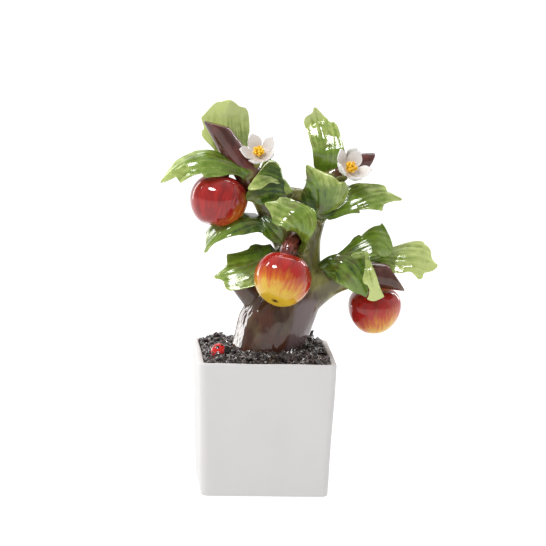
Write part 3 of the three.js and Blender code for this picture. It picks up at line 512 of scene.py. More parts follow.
bark_glaze, place = new_glaze("bark_to_green_glaze")
green = dipped(place, "green", 2)
brush = place.stretched(1, 1, 0.4).cloudy(6, 3)
patch = place.cloudy(15, 2)
brown = patch.rise(0.42, 0.62).blend(BARK_BROWN, BARK_OLIVE)
brown = (place.axis(2) + 20 * patch).rise(*RED_HEIGHTS).blend(brown, BARK_RED)
brown = brush.rise(0.25, 0.75).blend(BARK_DARK, brown)
# Painted reflection: a purple-grey sheen painted over the brown, low on the trunk's right.
plum = dipped(place, "plum", 2) + 0.3 * (brush - 0.5)
brown = plum.rise(0.35, 0.75).blend(brown, BARK_PAINTED_SHEEN)
leafy = (brush + 0.3 * patch).rise(0.5, 0.85).blend(STEM_DEEP, STEM_GREEN)
run_down = (green + 0.5 * brush - 0.25).rise(0.28, 0.68)
fire(bark_glaze, {
    "Base Color": run_down.blend(brown, leafy),
    "IOR": 1.55,
    "Roughness": 0.045 + 0.07 * place.cloudy(6, 2),
    "Normal": place.stretched(1, 1, 0.4).cloudy(5, 2).bumps(0.5),
})
soft_clay = make_piece("wood_in_parts", wood_points, wood_faces, bark_glaze)
join = soft_clay.modifiers.new("join", "REMESH")
join.mode, join.voxel_size, join.use_smooth_shade = "VOXEL", JOIN_GRAIN / 1000, True
rub = soft_clay.modifiers.new("rub", "SMOOTH")
rub.factor, rub.iterations = JOIN_RUB, JOIN_STROKES
joined = bpy.data.meshes.new_from_object(soft_clay.evaluated_get(bpy.context.evaluated_depsgraph_get()))
bpy.data.objects.remove(soft_clay)
joined_points = np.empty(len(joined.vertices) * 3)
joined.vertices.foreach_get("co", joined_points)
joined_points = joined_points.reshape(-1, 3) * 1000
nearness = np.linalg.norm(joined_points[:, None] - wood_lines[None, :, :3], axis=2) / wood_lines[None, :, 3]
weight = (nearness + SPRAY_SOFT) ** -SPRAY_SHARP
green_share = (weight * wood_lines[None, :, 4]).sum(1) / weight.sum(1)
x, y, z = joined_points.T
trunk_line = np.array(LIMBS["trunk"]["route"], float)
trunk_x, trunk_radius = (np.interp(z, trunk_line[:, 2], trunk_line[:, k]) for k in (0, 3))
# Where the painted purple-grey reflection lies: low on the trunk's right, in front, fading out towards its
# top.
plum_from = PAINTED_SHEEN["from"] - (z - PAINTED_SHEEN["lean_from"]) * PAINTED_SHEEN["lean"]
plum_side = np.clip(((x - trunk_x) / trunk_radius - plum_from) / PAINTED_SHEEN["over"], 0, 1)
plum_share = plum_side * np.clip((PAINTED_SHEEN["top"] - z) / PAINTED_SHEEN["fade"], 0, 1) * (y < PAINTED_SHEEN["front_of"])
wood = make_piece("trunk_and_boughs", joined_points, [f.vertices[:] for f in joined.polygons], bark_glaze,
                  green=green_share, plum=plum_share)
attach(wood, "root")
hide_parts(*LIMBS)


# The leaves. Slabs of clay about two millimetres thick, pressed into ridges, cut to big forward teeth, bent
# and stuck to the wood by their roots. Each is sprayed from a deep green root to a lighter tip.
LEAF = {"thick": 2.2, "margin": 0.6, "tip": 0.8, "step": 0.2, "teeth_from": 0.3, "teeth": 3, "bite": 0.1,
        "sweep": 0.3, "lag": 0.05, "teeth_end": 0.97, "roll_from": 0.62, "closes_over": 0.02,
        "bulge": 0.10, "flat": 0.55, "body": 0.6, "body_from": 0.02, "end_thick": 0.35}
# A leaf's spray: how it climbs from root to tip, and how much it lightens the rim and darkens the valleys.
SPRAY = {"climb": 0.9, "rim": 0.12, "rim_near": 4, "valley": 0.16}
# The pressed ridges fan out from the root, stray a little, and are faint here and there.
RIDGE = {"apart": 4.2, "deep": 0.20, "sharp": 0.8, "level": 0.6, "fan": 0.42, "fan_grows": 1.1, "stray": 1.5,
         "stray_apart": 7, "strong": 0.65, "faint": 0.35, "faint_apart": 5, "groove": 0.30,
         "groove_half": 0.7}
DENT = {"deep": 0.42, "apart": 4.2}
WAVE = {"lift": 0.8, "grows": 1.6, "waves": 1.25, "next_leaf": 0.37, "other_half": 0.3}
EDGE_FADE = {"from": 1.03, "over": 0.12}
# A rib runs from root to tip by two handles. left and right are the margins, as shares of the rib and half
# widths there, and run back at a notch. faces is the way the glossy side looks, turn the same at the tip,
# fold is how far each half stands up, curl how far each margin rolls and tone how light root and tip are.
# Some leaves have more: ridged and dented make their ridges and dents stronger or fainter, tilt leans the
# blade to one side, bow lifts it by millimetres at even steps of the rib, and lighter makes its right half
# paler than its left: painted light on one half of the blade and painted shade on the other.
LEAVES = {
    "upright_left": {"rib": [(-20, 6, 197), (-21, 8, 210), (-29, 15, 227), (-24, 12, 239)],
        "left": [(0, 2), (0.1, 5), (0.2, 9), (0.34, 11.7), (0.4, 13.3), (0.485, 16.1), (0.535, 17.2),
                 (0.59, 16.6), (0.61, 15), (0.66, 15.5), (0.725, 16.5), (0.795, 12.8), (0.88, 9.4),
                 (0.915, 7.5), (0.93, 5)],
        "right": [(0, 2), (0.15, 6), (0.3, 11), (0.435, 13.4), (0.48, 14.6), (0.575, 15.4), (0.695, 15.6),
                  (0.82, 14.7), (0.905, 12.3), (0.915, 9.3), (0.92, 7.5), (0.97, 4.5)],
        "faces": (0, -1, 0.2), "fold": (-6, -28), "curl": (0.4, 0.5), "tone": (0.42, 1.15),
        "lighter": -0.1},
    "long_left": {"rib": [(-15, -7, 197), (-29, -12, 205), (-48, -13, 214), (-67, -7, 189.5)],
        "left": [(0, 5), (0.1, 5), (0.21, 7.2), (0.28, 9.6), (0.375, 11.8), (0.485, 13.5), (0.555, 13.8),
                 (0.57, 10.8), (0.7, 11.2), (0.8, 11.1), (0.868, 10.6), (0.855, 5), (0.945, 3)],
        "right": [(0, 3), (0.1, 5), (0.2, 7), (0.39, 10), (0.52, 9.7), (0.625, 9.6), (0.69, 9.1),
                  (0.765, 8.6), (0.82, 8.2), (0.865, 6.6), (0.91, 3.7), (0.95, 1.7)],
        "faces": (0, -0.57, 0.82), "fold": (-16, -14), "curl": (0.4, 0.4), "tone": (0.25, 0.80),
        "ridged": 2.2},
    # folded_middle and folded_flap are the two halves of one bent leaf: the middle's low tone is painted
    # shade on the lower half, which faces forward, and the flap's high tone is painted light on the upper
    # half, which faces up.
    "folded_middle": {"rib": [(14, -5, 183), (6, -8, 187), (-6, -12, 187), (-14.6, -12, 180.7)],
        "left": [(0, 4), (0.15, 7), (0.4, 7.8), (0.565, 7.9), (0.745, 7.5), (0.86, 4.8), (0.955, 2.3)],
        "right": [(0, 3), (0.13, 3.1), (0.215, 5.6), (0.265, 8.5), (0.3, 11.2), (0.31, 14.3), (0.395, 18),
                  (0.465, 18.1), (0.58, 13.6), (0.665, 10.5), (0.77, 7), (0.84, 5.1), (0.905, 3.6)],
        "faces": (0.05, -1, 0.1), "fold": (-8, -6), "curl": (0.3, 0), "tone": (0.12, 0.34)},
    "folded_flap": {"rib": [(8.6, -4, 190.6), (4, -7, 195), (-6, -12, 194), (-13.4, -14, 187.3)],
        "left": [(0, 2), (0.02, 1.6), (0.275, 3.7), (0.505, 2.9), (0.66, 3.9), (0.775, 4.5), (0.905, 3.3)],
        "right": [(0, 2), (0.03, 2.6), (0.075, 6.5), (0.07, 10.3), (0.125, 13.3), (0.18, 15.3),
                  (0.26, 15.4), (0.5, 8.8), (0.665, 5.2), (0.84, 2.6), (0.955, 1.5)],
        "faces": (0.1, -0.75, 0.65), "fold": (-6, -6), "curl": (0.9, 0), "tone": (0.62, 0.86)},
    "upright_right": {"rib": [(34, 3, 191), (37, 5, 208), (32, 10, 225), (28, 11, 235.6)],
        "left": [(0, 3), (0.08, 5), (0.18, 7.3), (0.235, 7.5), (0.33, 8), (0.425, 8), (0.51, 8.4),
                 (0.59, 8.3), (0.665, 8.4), (0.745, 9.1), (0.815, 9), (0.88, 7.6), (0.905, 4.9),
                 (0.88, 3.4), (0.93, 1.7)],
        "right": [(0, 3), (0.08, 6), (0.155, 7), (0.235, 9.2), (0.355, 11.7), (0.425, 11.3), (0.5, 10.7),
                  (0.57, 10.6), (0.64, 10.2), (0.7, 9.2), (0.71, 6.5), (0.76, 5.7), (0.85, 3.6),
                  (0.93, 2.1)],
        "faces": (0, -1, 0.25), "fold": (8, 8), "curl": (0.6, 0.6), "tone": (0.22, 0.96),
        "bow": (0, 0.3, 2.8, 4.2, 2.2, 0, -2.2, -4.2, -3.4, -1.6), "tilt": 0.17, "ridged": 0.42,
        "dented": 0.6},
    "cupped_right": {"rib": [(30, -8, 171), (31, -15, 183), (31, -19, 195), (22, -13, 203)],
        "left": [(0, 4), (0.14, 12.8), (0.32, 12.1), (0.515, 9.7), (0.745, 6.3), (0.93, 3.3)],
        "right": [(0, 4), (0.1, 12), (0.25, 17), (0.365, 19.4), (0.425, 18.5), (0.505, 18), (0.52, 14.2),
                  (0.63, 11), (0.76, 6.3), (0.91, 2.4)],
        "faces": (-0.1, -1, 0.3), "fold": (-24, -18), "curl": (0.4, -2.6), "tone": (0.20, 0.76),
        "lighter": 0.26, "tilt": 0.1},
    "level_right": {"rib": [(37, -5, 171), (51, -11, 177), (65, -11, 189), (82.5, -5, 181)],
        "left": [(0, 3), (0.1, 5), (0.16, 6), (0.27, 9.5), (0.355, 12.2), (0.42, 13.1), (0.505, 12.4),
                 (0.56, 11.1), (0.64, 10.1), (0.72, 9.6), (0.8, 8.6), (0.82, 6.9), (0.815, 3.9),
                 (0.87, 3.1), (0.93, 1.6)],
        "right": [(0, 4), (0.1, 5), (0.195, 5), (0.295, 6.1), (0.395, 8.1), (0.4, 5.7), (0.5, 6.9),
                  (0.61, 8.9), (0.7, 10.8), (0.745, 6.2), (0.86, 4)],
        "faces": (0, -0.6, 0.8), "fold": (8, -10), "curl": (0.4, 0.4), "tone": (0.20, 0.80), "ridged": 1.8},
    "right_upper": {"rib": [(39, 0, 141), (51, -4, 144), (68, -5, 167), (77, -3, 147)],
        "left": [(0, 3), (0.15, 2.8), (0.24, 3.5), (0.36, 5), (0.435, 6.9), (0.515, 7), (0.515, 5.2),
                 (0.625, 8), (0.71, 10.5), (0.745, 11.1), (0.76, 13.5), (0.78, 11.8), (0.83, 7.9),
                 (0.89, 5.3), (0.95, 3.3)],
        "right": [(0, 3), (0.1, 4), (0.25, 7), (0.51, 10), (0.66, 10.7), (0.76, 9.8), (0.86, 8.6),
                  (0.96, 7.2), (1, 5)],
        "faces": (0.1, -0.85, 0.5), "fold": (-4, -6), "curl": (1.3, 0.4), "tone": (0.26, 0.56),
        "tilt": 0.26, "dented": 1.3},
    "right_front": {"rib": [(33, -10, 139), (45, -17, 150), (55, -22, 139), (61, -17, 122)],
        "left": [(0, 3), (0.22, 4.8), (0.32, 5.8), (0.39, 8.8), (0.485, 13), (0.53, 15.1), (0.605, 14.1),
                 (0.655, 13.2), (0.71, 10.6), (0.75, 8), (0.88, 4)],
        "right": [(0, 7), (0.04, 9.6), (0.2, 12.2), (0.4, 12.6), (0.58, 12.2), (0.76, 9.8), (0.88, 6.7),
                  (0.95, 2.5)],
        "faces": (0, -0.9, 0.35), "fold": (-12, -10), "curl": (0.5, 0.4), "tone": (0.22, 0.44),
        "ridged": 0.5},
    "right_flap": {"rib": [(60, -17, 149), (61, -22, 143), (62, -25, 132), (66.5, -21, 120.5)],
        "left": [(0, 1), (0.27, 2.5), (0.425, 3.1), (0.575, 3.9), (0.74, 4.5), (0.89, 5.2), (0.97, 5.8),
                 (0.99, 4.4)],
        "right": [(0, 1), (0.3, 1.3), (0.435, 2.6), (0.56, 4.4), (0.64, 4.4), (0.685, 2.4), (0.77, 1.9),
                  (0.87, 3.3), (0.915, 4.9), (0.96, 3.2)],
        "faces": (0.1, -1, 0.1), "fold": (0, 0), "curl": (0.8, 0.6), "tone": (0.66, 1.05), "tilt": -0.45,
        "bow": (0, -0.8, -1.5, -1.6, 0, 1.6, 1.5, 0.8, 0.3, 0), "ridged": 0.5, "dented": 2},
    "far_right": {"rib": [(65, 4, 140), (79, 2, 149), (93, -1, 139), (107, 3, 139)],
        "left": [(0, 3), (0.1, 5), (0.2, 7), (0.315, 9), (0.44, 11.9), (0.565, 13.2), (0.7, 13.9),
                 (0.84, 11.7), (0.905, 8.5), (0.88, 4.7), (0.935, 2.6)],
        "right": [(0, 5), (0.12, 6), (0.25, 7.4), (0.335, 8.8), (0.475, 9.3), (0.61, 8.6), (0.68, 11.2),
                  (0.73, 13), (0.775, 11.4), (0.79, 7.4), (0.915, 4.2)],
        "faces": (0.05, -0.6, 0.8), "fold": (0, -8), "curl": (0.4, 0.6), "tone": (0.48, 1.05),
        "ridged": 1.6, "tilt": -0.22, "bow": (0, -0.5, -1.2, -1.8, -1, 0.8, 1.8, 1.4, 0.5, 0)},
    "low_left": {"rib": [(6, -8, 147), (-10, -14, 139), (-18, -16, 137), (-33, -12, 132)],
        "left": [(0, 6), (0.12, 13), (0.3, 15.5), (0.49, 14.6), (0.62, 13.5), (0.71, 13.1), (0.82, 12),
                 (0.865, 9.9), (0.84, 8.1), (0.82, 6.6), (0.845, 4.4), (0.91, 3)],
        "right": [(0, 8), (0.075, 9.3), (0.155, 12.8), (0.24, 13.3), (0.3, 11.7), (0.445, 12.3),
                  (0.605, 13.1), (0.735, 14.1), (0.76, 12.1), (0.74, 9.7), (0.71, 7.7), (0.77, 6.3),
                  (0.835, 3.9), (0.92, 2.3)],
        "faces": (-0.1, -0.85, 0.5), "fold": (6, -8), "curl": (0.6, 0.5), "tone": (0.22, 0.74),
        "dented": 0.8, "tilt": -0.1},
    "under_left": {"rib": [(1, -8, 163), (-10, -13, 172), (-31, -19, 167), (-39, -11, 147)],
        "left": [(0, 7), (0.13, 6.8), (0.275, 7.8), (0.46, 7.8), (0.63, 6.4), (0.775, 4.4), (0.86, 2.4),
                 (0.93, 1.5)],
        "right": [(0, 4), (0.04, 12), (0.13, 15.6), (0.27, 14.4), (0.4, 12), (0.55, 11.4), (0.7, 12.4),
                  (0.8, 13.8), (0.9, 14.2), (0.95, 7), (0.98, 3)],
        "faces": (0, -0.45, 0.9), "fold": (-30, -12), "curl": (0.4, 0.4), "tone": (0.12, 0.62)},
    "front_top": {"rib": [(20, -16, 151), (25, -29, 166), (15, -30, 182), (-4, -25, 181)],
        "left": [(0, 8), (0.1, 9.6), (0.305, 10.5), (0.56, 10.4), (0.74, 10.1), (0.855, 9.3), (0.88, 7.2),
                 (0.935, 3.9)],
        "right": [(0, 3), (0.135, 4.6), (0.22, 5.8), (0.33, 7.6), (0.41, 9.2), (0.475, 10.7), (0.555, 9.3),
                  (0.64, 8.9), (0.705, 9.8), (0.785, 9.9), (0.855, 8.2), (0.875, 4.5), (0.94, 2.3)],
        "faces": (-0.38, -0.7, 0.7), "turn": (-0.25, -0.6, 0.8), "fold": (-10, -10), "curl": (0.5, 0.5),
        "tone": (0.36, 0.70), "dented": 0.9, "ridged": 2.4, "tilt": 0.25,
        "bow": (0, 0.6, 2.2, 3.8, 2.6, 0, -2.6, -3.6, -2.0, -0.8)},
    "front_cup": {"rib": [(-4, -8, 169), (1, -14, 163), (5, -16, 159), (9, -15, 155)],
        "left": [(0, 2), (0.2, 5), (0.45, 6.4), (0.7, 4.6), (0.9, 2.6)],
        "right": [(0, 2), (0.2, 5), (0.4, 6.2), (0.7, 5), (0.9, 2.4)],
        "faces": (-0.3, -0.9, 0.4), "fold": (14, 14), "curl": (0.8, 0.8), "tone": (0.10, 0.40)},
    "strip_left": {"rib": [(-2, 4, 184), (-4, 9, 190), (-1, 10, 197), (0.5, 8, 205)],
        "left": [(0, 2), (0.2, 4), (0.5, 4.4), (0.8, 3), (0.95, 1.4)],
        "right": [(0, 2), (0.2, 4), (0.5, 4.4), (0.8, 3), (0.95, 1.4)],
        "faces": (0.2, -1, 0.2), "fold": (0, 0), "curl": (0.3, 0.3), "tone": (0.3, 0.6)},
}
FRONT_MASSES = {
    "leaves_top_left": ["upright_left"], "leaves_upper_left": ["long_left"],
    "leaves_middle": ["folded_middle", "folded_flap"],
    "leaves_strip": ["strip_left"], "leaves_top_right": ["upright_right"],
    "leaves_upper_right": ["cupped_right", "level_right"],
    "leaves_right": ["right_front", "right_upper", "right_flap"], "leaves_far_right": ["far_right"],
    "leaves_low_left": ["low_left"], "leaves_under_left": ["under_left", "front_cup"],
    "leaves_front": ["front_top"],
}
# The leaves of the far side fan out from a stem's end, by heading and rise in degrees, and by the seed.
# Where a mass names no other value, it has these.
BACK_MASS = {"count": 1, "spread": 0, "climb": 0, "long": 40, "wide": 11.5}
BACK_MASSES = {
    "leaves_back_upper_left": {"count": 2, "heading": 106, "spread": -14, "rise": 20, "climb": -44,
                               "seed": 11},
    "leaves_back_left": {"heading": 122, "rise": -8, "long": 38, "seed": 17},
    "leaves_back_crown": {"count": 2, "heading": 68, "spread": 38, "rise": -2, "climb": 10, "seed": 23},
    "leaves_back_middle": {"heading": 90, "rise": -8, "long": 44, "wide": 9.5, "seed": 31},
    "leaves_back_stem": {"heading": 92, "rise": 2, "long": 42, "wide": 12, "seed": 37},
    "leaves_back_right": {"count": 2, "heading": 64, "spread": 44, "rise": -2, "long": 42, "seed": 47},
    "leaves_back_low": {"heading": 86, "rise": -4, "wide": 12, "seed": 53},
}
BACK_SWAY = 8
# Where a far side leaf's draws start, and how much they may add.
GROWN = {"long": (0.94, 0.12), "droop": (0.1, 0.1), "wide": (0.92, 0.16), "fold": (-6, -12)}
# The plain leaf's half widths, as shares of its own, at even steps of the rib.
PLAIN_LEAF = [0.2, 0.72, 1, 0.95, 0.66, 0.06]
# Each draw multiplies the last one, adds to it, and keeps what is left over whole rounds.
DRAW = {"times": 1664525, "plus": 1013904223, "round": 4294967296}
TWIG = {"foot": 2.8, "middle": 2.2, "tip": 0.9, "root": 0.02, "sinks": 0.14}
MIDDLE_X = 14
LEAF_DEEP, LEAF_MID = (0.024, 0.058, 0.009, 1), (0.138, 0.225, 0.020, 1)
LEAF_LIGHT, LEAF_OLIVE = (0.500, 0.580, 0.190, 1), (0.110, 0.085, 0.022, 1)


def along_rib(rib, t):
    """Places and directions at shares t of a rib, which may be a table of shares."""
    a, b, c, d = (np.asarray(p, float) for p in rib)
    t = np.asarray(t, float)[..., None]
    place = a * (1 - t) ** 3 + 3 * b * t * (1 - t) ** 2 + 3 * c * t ** 2 * (1 - t) + d * t ** 3
    return place, unit(3 * (b - a) * (1 - t) ** 2 + 6 * (c - b) * t * (1 - t) + 3 * (d - c) * t ** 2)


def through(widths, t):
    """Half widths or lifts at shares t of a rib, on a curve through those given at even steps."""
    widths = np.asarray(widths, float)
    last = len(widths) - 1
    spot = np.clip(t, 0, 1) * last
    k = np.minimum(spot.astype(int), last - 1)
    part = spot - k
    p0, p1 = widths[np.maximum(k - 1, 0)], widths[k]
    p2, p3 = widths[k + 1], widths[np.minimum(k + 2, last)]
    out, into = (p2 - p0) / 2, (p3 - p1) / 2
    bend, close = -3 * p1 + 3 * p2 - 2 * out - into, 2 * p1 - 2 * p2 + out + into
    return close * part ** 3 + bend * part ** 2 + out * part + p1


def plain_margin(widths, long, steps, bite=0.0, lag=0.0):
    """The corners of a plain margin: a curve through half widths at even steps, with forward teeth."""
    t = np.linspace(0, LEAF["teeth_end"], steps)
    at = t - lag * np.sin(math.pi * t)
    tooth = (at - LEAF["teeth_from"]) / (1 - LEAF["teeth_from"]) * LEAF["teeth"]
    bitten = np.where(tooth > 0, 1 + bite * (2 * (tooth % 1) - 1), 1)
    width = np.maximum(through(widths, at), LEAF["tip"]) * bitten
    return list(zip(t + LEAF["sweep"] * np.sin(math.pi * t) * width / long, width))


def margin_rows(pairs, long, rows):
    """A margin's corners in millimetres along the rib and out from it, which run forward only, with the
    longest run between them halved until there is one for each row, and softened as by a wet finger."""
    corners = [np.array((share * long, width), float) for share, width in [*pairs, (1.0, LEAF["tip"])]]
    for before, after in zip(corners, corners[1:]):
        after[0] = max(after[0], before[0] + LEAF["step"])
    while len(corners) < rows:
        runs = [np.hypot(*(after - before)) for before, after in zip(corners, corners[1:])]
        k = int(np.argmax(runs))
        corners.insert(k + 1, (corners[k] + corners[k + 1]) / 2)
    even = np.array(corners)
    even[1:-1] = (even[:-2] + 2 * even[1:-1] + even[2:]) / 4
    return even.T


def pressed(leaf, number, row, out, on_rib, reach):
    """What the press leaves on a blade, in millimetres: ridges, the rib's groove, a waved margin and dents.
    With it come the ridges alone, from 0 in a valley to 1 on top, and how far they have fanned out."""
    off = np.abs(out)
    fan = np.minimum(1, RIDGE["fan"] + RIDGE["fan_grows"] * row)
    spot = np.stack([on_rib, np.sign(out) * reach, np.zeros(row.shape)], -1).reshape(-1, 3)
    stray = waver(spot * (1, 0.5, 0), RIDGE["stray_apart"], 70 + number).reshape(row.shape)
    dent = waver(spot * (1, 1.2, 0), DENT["apart"], 90 + number).reshape(row.shape)
    faint = waver(spot, RIDGE["faint_apart"], 110 + number).reshape(row.shape)
    from_rib = (reach + RIDGE["stray"] * stray * off) / (RIDGE["apart"] * fan)
    ridge = np.abs(np.sin(math.pi * from_rib)) ** RIDGE["sharp"]
    strength = (RIDGE["strong"] + RIDGE["faint"] * faint) * leaf.get("ridged", 1)
    edge_fade = np.clip((EDGE_FADE["from"] - off) / EDGE_FADE["over"], 0, 1)
    ridges = RIDGE["deep"] * (ridge - RIDGE["level"]) * strength * edge_fade
    groove = RIDGE["groove"] * np.exp(-(reach / RIDGE["groove_half"]) ** 2)
    phase = WAVE["waves"] * row + WAVE["next_leaf"] * number + WAVE["other_half"] * (out > 0)
    wave = WAVE["lift"] * off ** WAVE["grows"] * np.sin(2 * math.pi * phase)
    dents = DENT["deep"] * (dent * leaf.get("dented", 1)) * edge_fade
    return ridges - groove + wave + dents, ridge, fan


def leaf_skin(leaf, number=0, rows=88, sides=68, thick=LEAF["thick"], relief=1.0):
    """A leaf's closed skin, with the place of each point on the blade and how light it is sprayed. On the
    grid of its points, row is a share of the rib, and out is -1 at the left margin and 1 at the right."""
    line = along_rib(leaf["rib"], np.linspace(0, 1, 200))[0]
    long = np.linalg.norm(np.diff(line, axis=0), axis=1).sum()
    left_at, left_wide = margin_rows(leaf["left"], long, rows)
    right_at, right_wide = margin_rows(leaf["right"], long, rows)
    turn = np.linspace(0, 2 * math.pi, sides, endpoint=False)
    side = np.cos(turn) * (1 + LEAF["bulge"] * np.sin(turn) ** 2)
    face = np.sign(np.sin(turn)) * np.abs(np.sin(turn)) ** LEAF["flat"]
    row, out = np.meshgrid(np.minimum(left_at, right_at) / long, side / np.abs(side).max(), indexing="ij")
    off, way = np.abs(out), np.sign(out)

    def by_half(left, right):
        return np.where(out > 0, right, left)

    at = row + (by_half(left_at[:, None], right_at[:, None]) / long - row) * off
    on_rib = np.minimum(at, 1)
    reach = off * by_half(left_wide[:, None], right_wide[:, None])
    middle, along = along_rib(leaf["rib"], on_rib)
    share = on_rib[..., None]
    look = np.asarray(leaf["faces"], float) * (1 - share)
    look = look + np.asarray(leaf.get("turn", leaf["faces"])) * share
    right = unit(np.cross(along, look))
    up = np.cross(right, along)
    fold = np.radians(by_half(*leaf["fold"]))
    body = np.sin(math.pi * np.clip(row, LEAF["body_from"], 1 - LEAF["body_from"])) ** LEAF["body"]
    rolled = np.clip((off - LEAF["roll_from"]) / (1 - LEAF["roll_from"]), 0, 1) ** 2
    press, ridge, fan = pressed(leaf, number, row, out, on_rib * long, reach)
    lift = press * relief * body + by_half(*leaf["curl"]) * rolled * body
    lift = lift + through(leaf.get("bow", (0, 0)), row) + leaf.get("tilt", 0) * way * reach * body
    height = face[None, :] * thick / 2 * (1 - (1 - LEAF["margin"]) * off)
    close = np.clip((1.0 - row) / LEAF["closes_over"], 0, 1) ** 0.5
    height = height * (LEAF["end_thick"] + (1 - LEAF["end_thick"]) * close)
    points = (middle + along * (np.maximum(at - 1, 0) * long)[..., None]
              + right * (way * reach * np.cos(fold) * close)[..., None]
              + up * (reach * np.sin(fold) * close + lift + height)[..., None])
    root_tone, tip_tone = leaf["tone"]
    tone = root_tone + (tip_tone - root_tone) * row ** SPRAY["climb"]
    tone = tone + SPRAY["rim"] * off ** SPRAY["rim_near"] - SPRAY["valley"] * (1 - ridge) * body * relief
    # Painted light and shade: one half of the blade is made paler and the other darker.
    tone = tone + out * leaf.get("lighter", 0)
    skin_points, faces = skin(points)
    blade = np.stack([row * long, way * reach / fan, np.full(row.shape, 50.0 * number)], -1).reshape(-1, 3)
    return skin_points, [corners[::-1] for corners in faces], blade, tone.ravel()


def twig_skin(stem_end, leaf):
    """The short twig from a stem's end into the rib, sprayed as the leaf's root is."""
    (root, deep), _ = along_rib(leaf["rib"], [TWIG["root"], TWIG["sinks"]])
    foot = np.array(stem_end[:3], float)
    middle = [] if (root - foot) @ (deep - root) < 0 else [(*root, TWIG["middle"])]
    points, faces = skin(limb_rings([(*foot, TWIG["foot"]), *middle, (*deep, TWIG["tip"])], 1, 18, 12)[0])
    return points, faces, np.zeros((len(points), 3)), np.full(len(points), leaf["tone"][0])


def grown_leaves(rule, stem_end):
    """The leaves of a far side mass, from the same seeded rule as its solid."""
    mass = BACK_MASS | rule
    state = mass["seed"]

    def draw(least=0.0, more=1.0):
        """The mass's next draw, between the least and that much more."""
        nonlocal state
        state = (state * DRAW["times"] + DRAW["plus"]) % DRAW["round"]
        return least + state / DRAW["round"] * more

    leaves = []
    for k in range(mass["count"]):
        step = k - (mass["count"] - 1) / 2
        azimuth = math.radians(mass["heading"] + step * mass["spread"] + (draw() - 0.5) * BACK_SWAY)
        lift = math.radians(mass["rise"] + step * mass["climb"] + (draw() - 0.5) * BACK_SWAY)
        length = mass["long"] * draw(*GROWN["long"])
        droop = length * draw(*GROWN["droop"])
        level = math.cos(lift)
        out = np.array([math.cos(azimuth) * level, math.sin(azimuth) * level, math.sin(lift)])
        arch = [(0, 0), (0.34, 0.1 * length), (0.7, 0.06 * length), (1, -droop)]
        leaf = {"rib": [np.array(stem_end[:3]) + out * length * share + (0, 0, high) for share, high in arch]}
        for half, lag in (("left", 0.0), ("right", LEAF["lag"])):
            widths = [share * mass["wide"] * draw(*GROWN["wide"]) for share in PLAIN_LEAF]
            leaf[half] = plain_margin(widths, length, 60, LEAF["bite"], lag)
        lean = 0.25 - math.sin(lift)
        leaf["faces"] = (out[0] * lean, out[1] * lean, 1)
        leaf["fold"] = (draw(*GROWN["fold"]), draw(*GROWN["fold"]))
        leaf["curl"] = (0.5, 0.5)
        leaf["tone"] = (0.18 + 0.1 * (k % 2), 0.60 + 0.08 * (mass["seed"] % 4))
        leaves.append(leaf)
    return leaves


leaf_glaze, place = new_glaze("leaf_green_glaze")
blade = dipped(place, "blade", 1)
brushed = blade.stretched(0.045, 0.55, 1).cloudy(1, 4, 0.6)
fine = blade.stretched(0.09, 1.5, 1).cloudy(1, 2)
drift = place.cloudy(13, 2)
mottle = place.cloudy(4.5, 3, 0.6)
shade = dipped(place, "tone", 2) + 0.50 * (brushed - 0.5) + 0.35 * (fine - 0.5)
shade = shade + 0.45 * (drift - 0.5) + 0.60 * (mottle - 0.5)
colour = shade.rise(0.02, 0.50).blend(LEAF_DEEP, LEAF_MID)
colour = shade.rise(0.42, 1.0).blend(colour, LEAF_LIGHT)
olive = place.stretched(1, 1, 1.4).cloudy(9, 3).rise(0.48, 0.70) * (1 - shade.rise(0.4, 0.8)) * 0.55
fire(leaf_glaze, {
    "Base Color": olive.blend(colour, LEAF_OLIVE),
    "IOR": 1.58,
    "Roughness": 0.045 + 0.05 * place.cloudy(5, 2),
    "Normal": brushed.bumps(0.12),
})
sprays = {"leaves_of_the_left": [], "leaves_of_the_right": [], "leaves_of_the_back": []}
for mass, leaves in FRONT_MASSES.items():
    stem_end = FRONT_STEMS[mass][-1]
    spray = "leaves_of_the_left" if stem_end[0] < MIDDLE_X else "leaves_of_the_right"
    sprays[spray].append((mass, stem_end, [LEAVES[leaf] for leaf in leaves]))
for mass, rule in BACK_MASSES.items():
    stem_end = BACK_STEMS[mass][-1]
    sprays["leaves_of_the_back"].append((mass, stem_end, grown_leaves(rule, stem_end)))
number = 0
for name, spray in sprays.items():
    parts = []
    for mass, stem_end, leaves in spray:
        for leaf in leaves:
            parts += [leaf_skin(leaf, number), twig_skin(stem_end, leaf)]
            number += 1
    points, faces, blade_at, tone_at = gather(parts)
    leaves = make_piece(name, points, faces, leaf_glaze, blade=blade_at, tone=tone_at)
    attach(leaves, "root")
    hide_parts(*[mass for mass, _, _ in spray])


# The fruit. Balls of clay pinched in at stalk and eye and hung on thick stalks, brushed with red glaze in
# strokes from the stalk down over a yellow ground, and fired to the highest gloss on the tree.
# The form is in shares of the radius. eye_opens, eye_brown and hollow_opens are angles.
FRUIT_FORM = {"high": 0.96, "shoulder": 0.07, "widest": 1.012, "eye": 0.13, "eye_opens": 0.42,
              "eye_brown": 0.13, "hollow": 0.26, "hollow_opens": 0.44, "ribs": 5, "rib_deep": 0.022,
              "rib_fade": 0.6, "pole": 0.001}
STROKE_LONG, STROKE_LEAST = 0.22, 0.08
STALK = {"sinks": 0.5, "foot": 0.8, "flutes": 0.15}
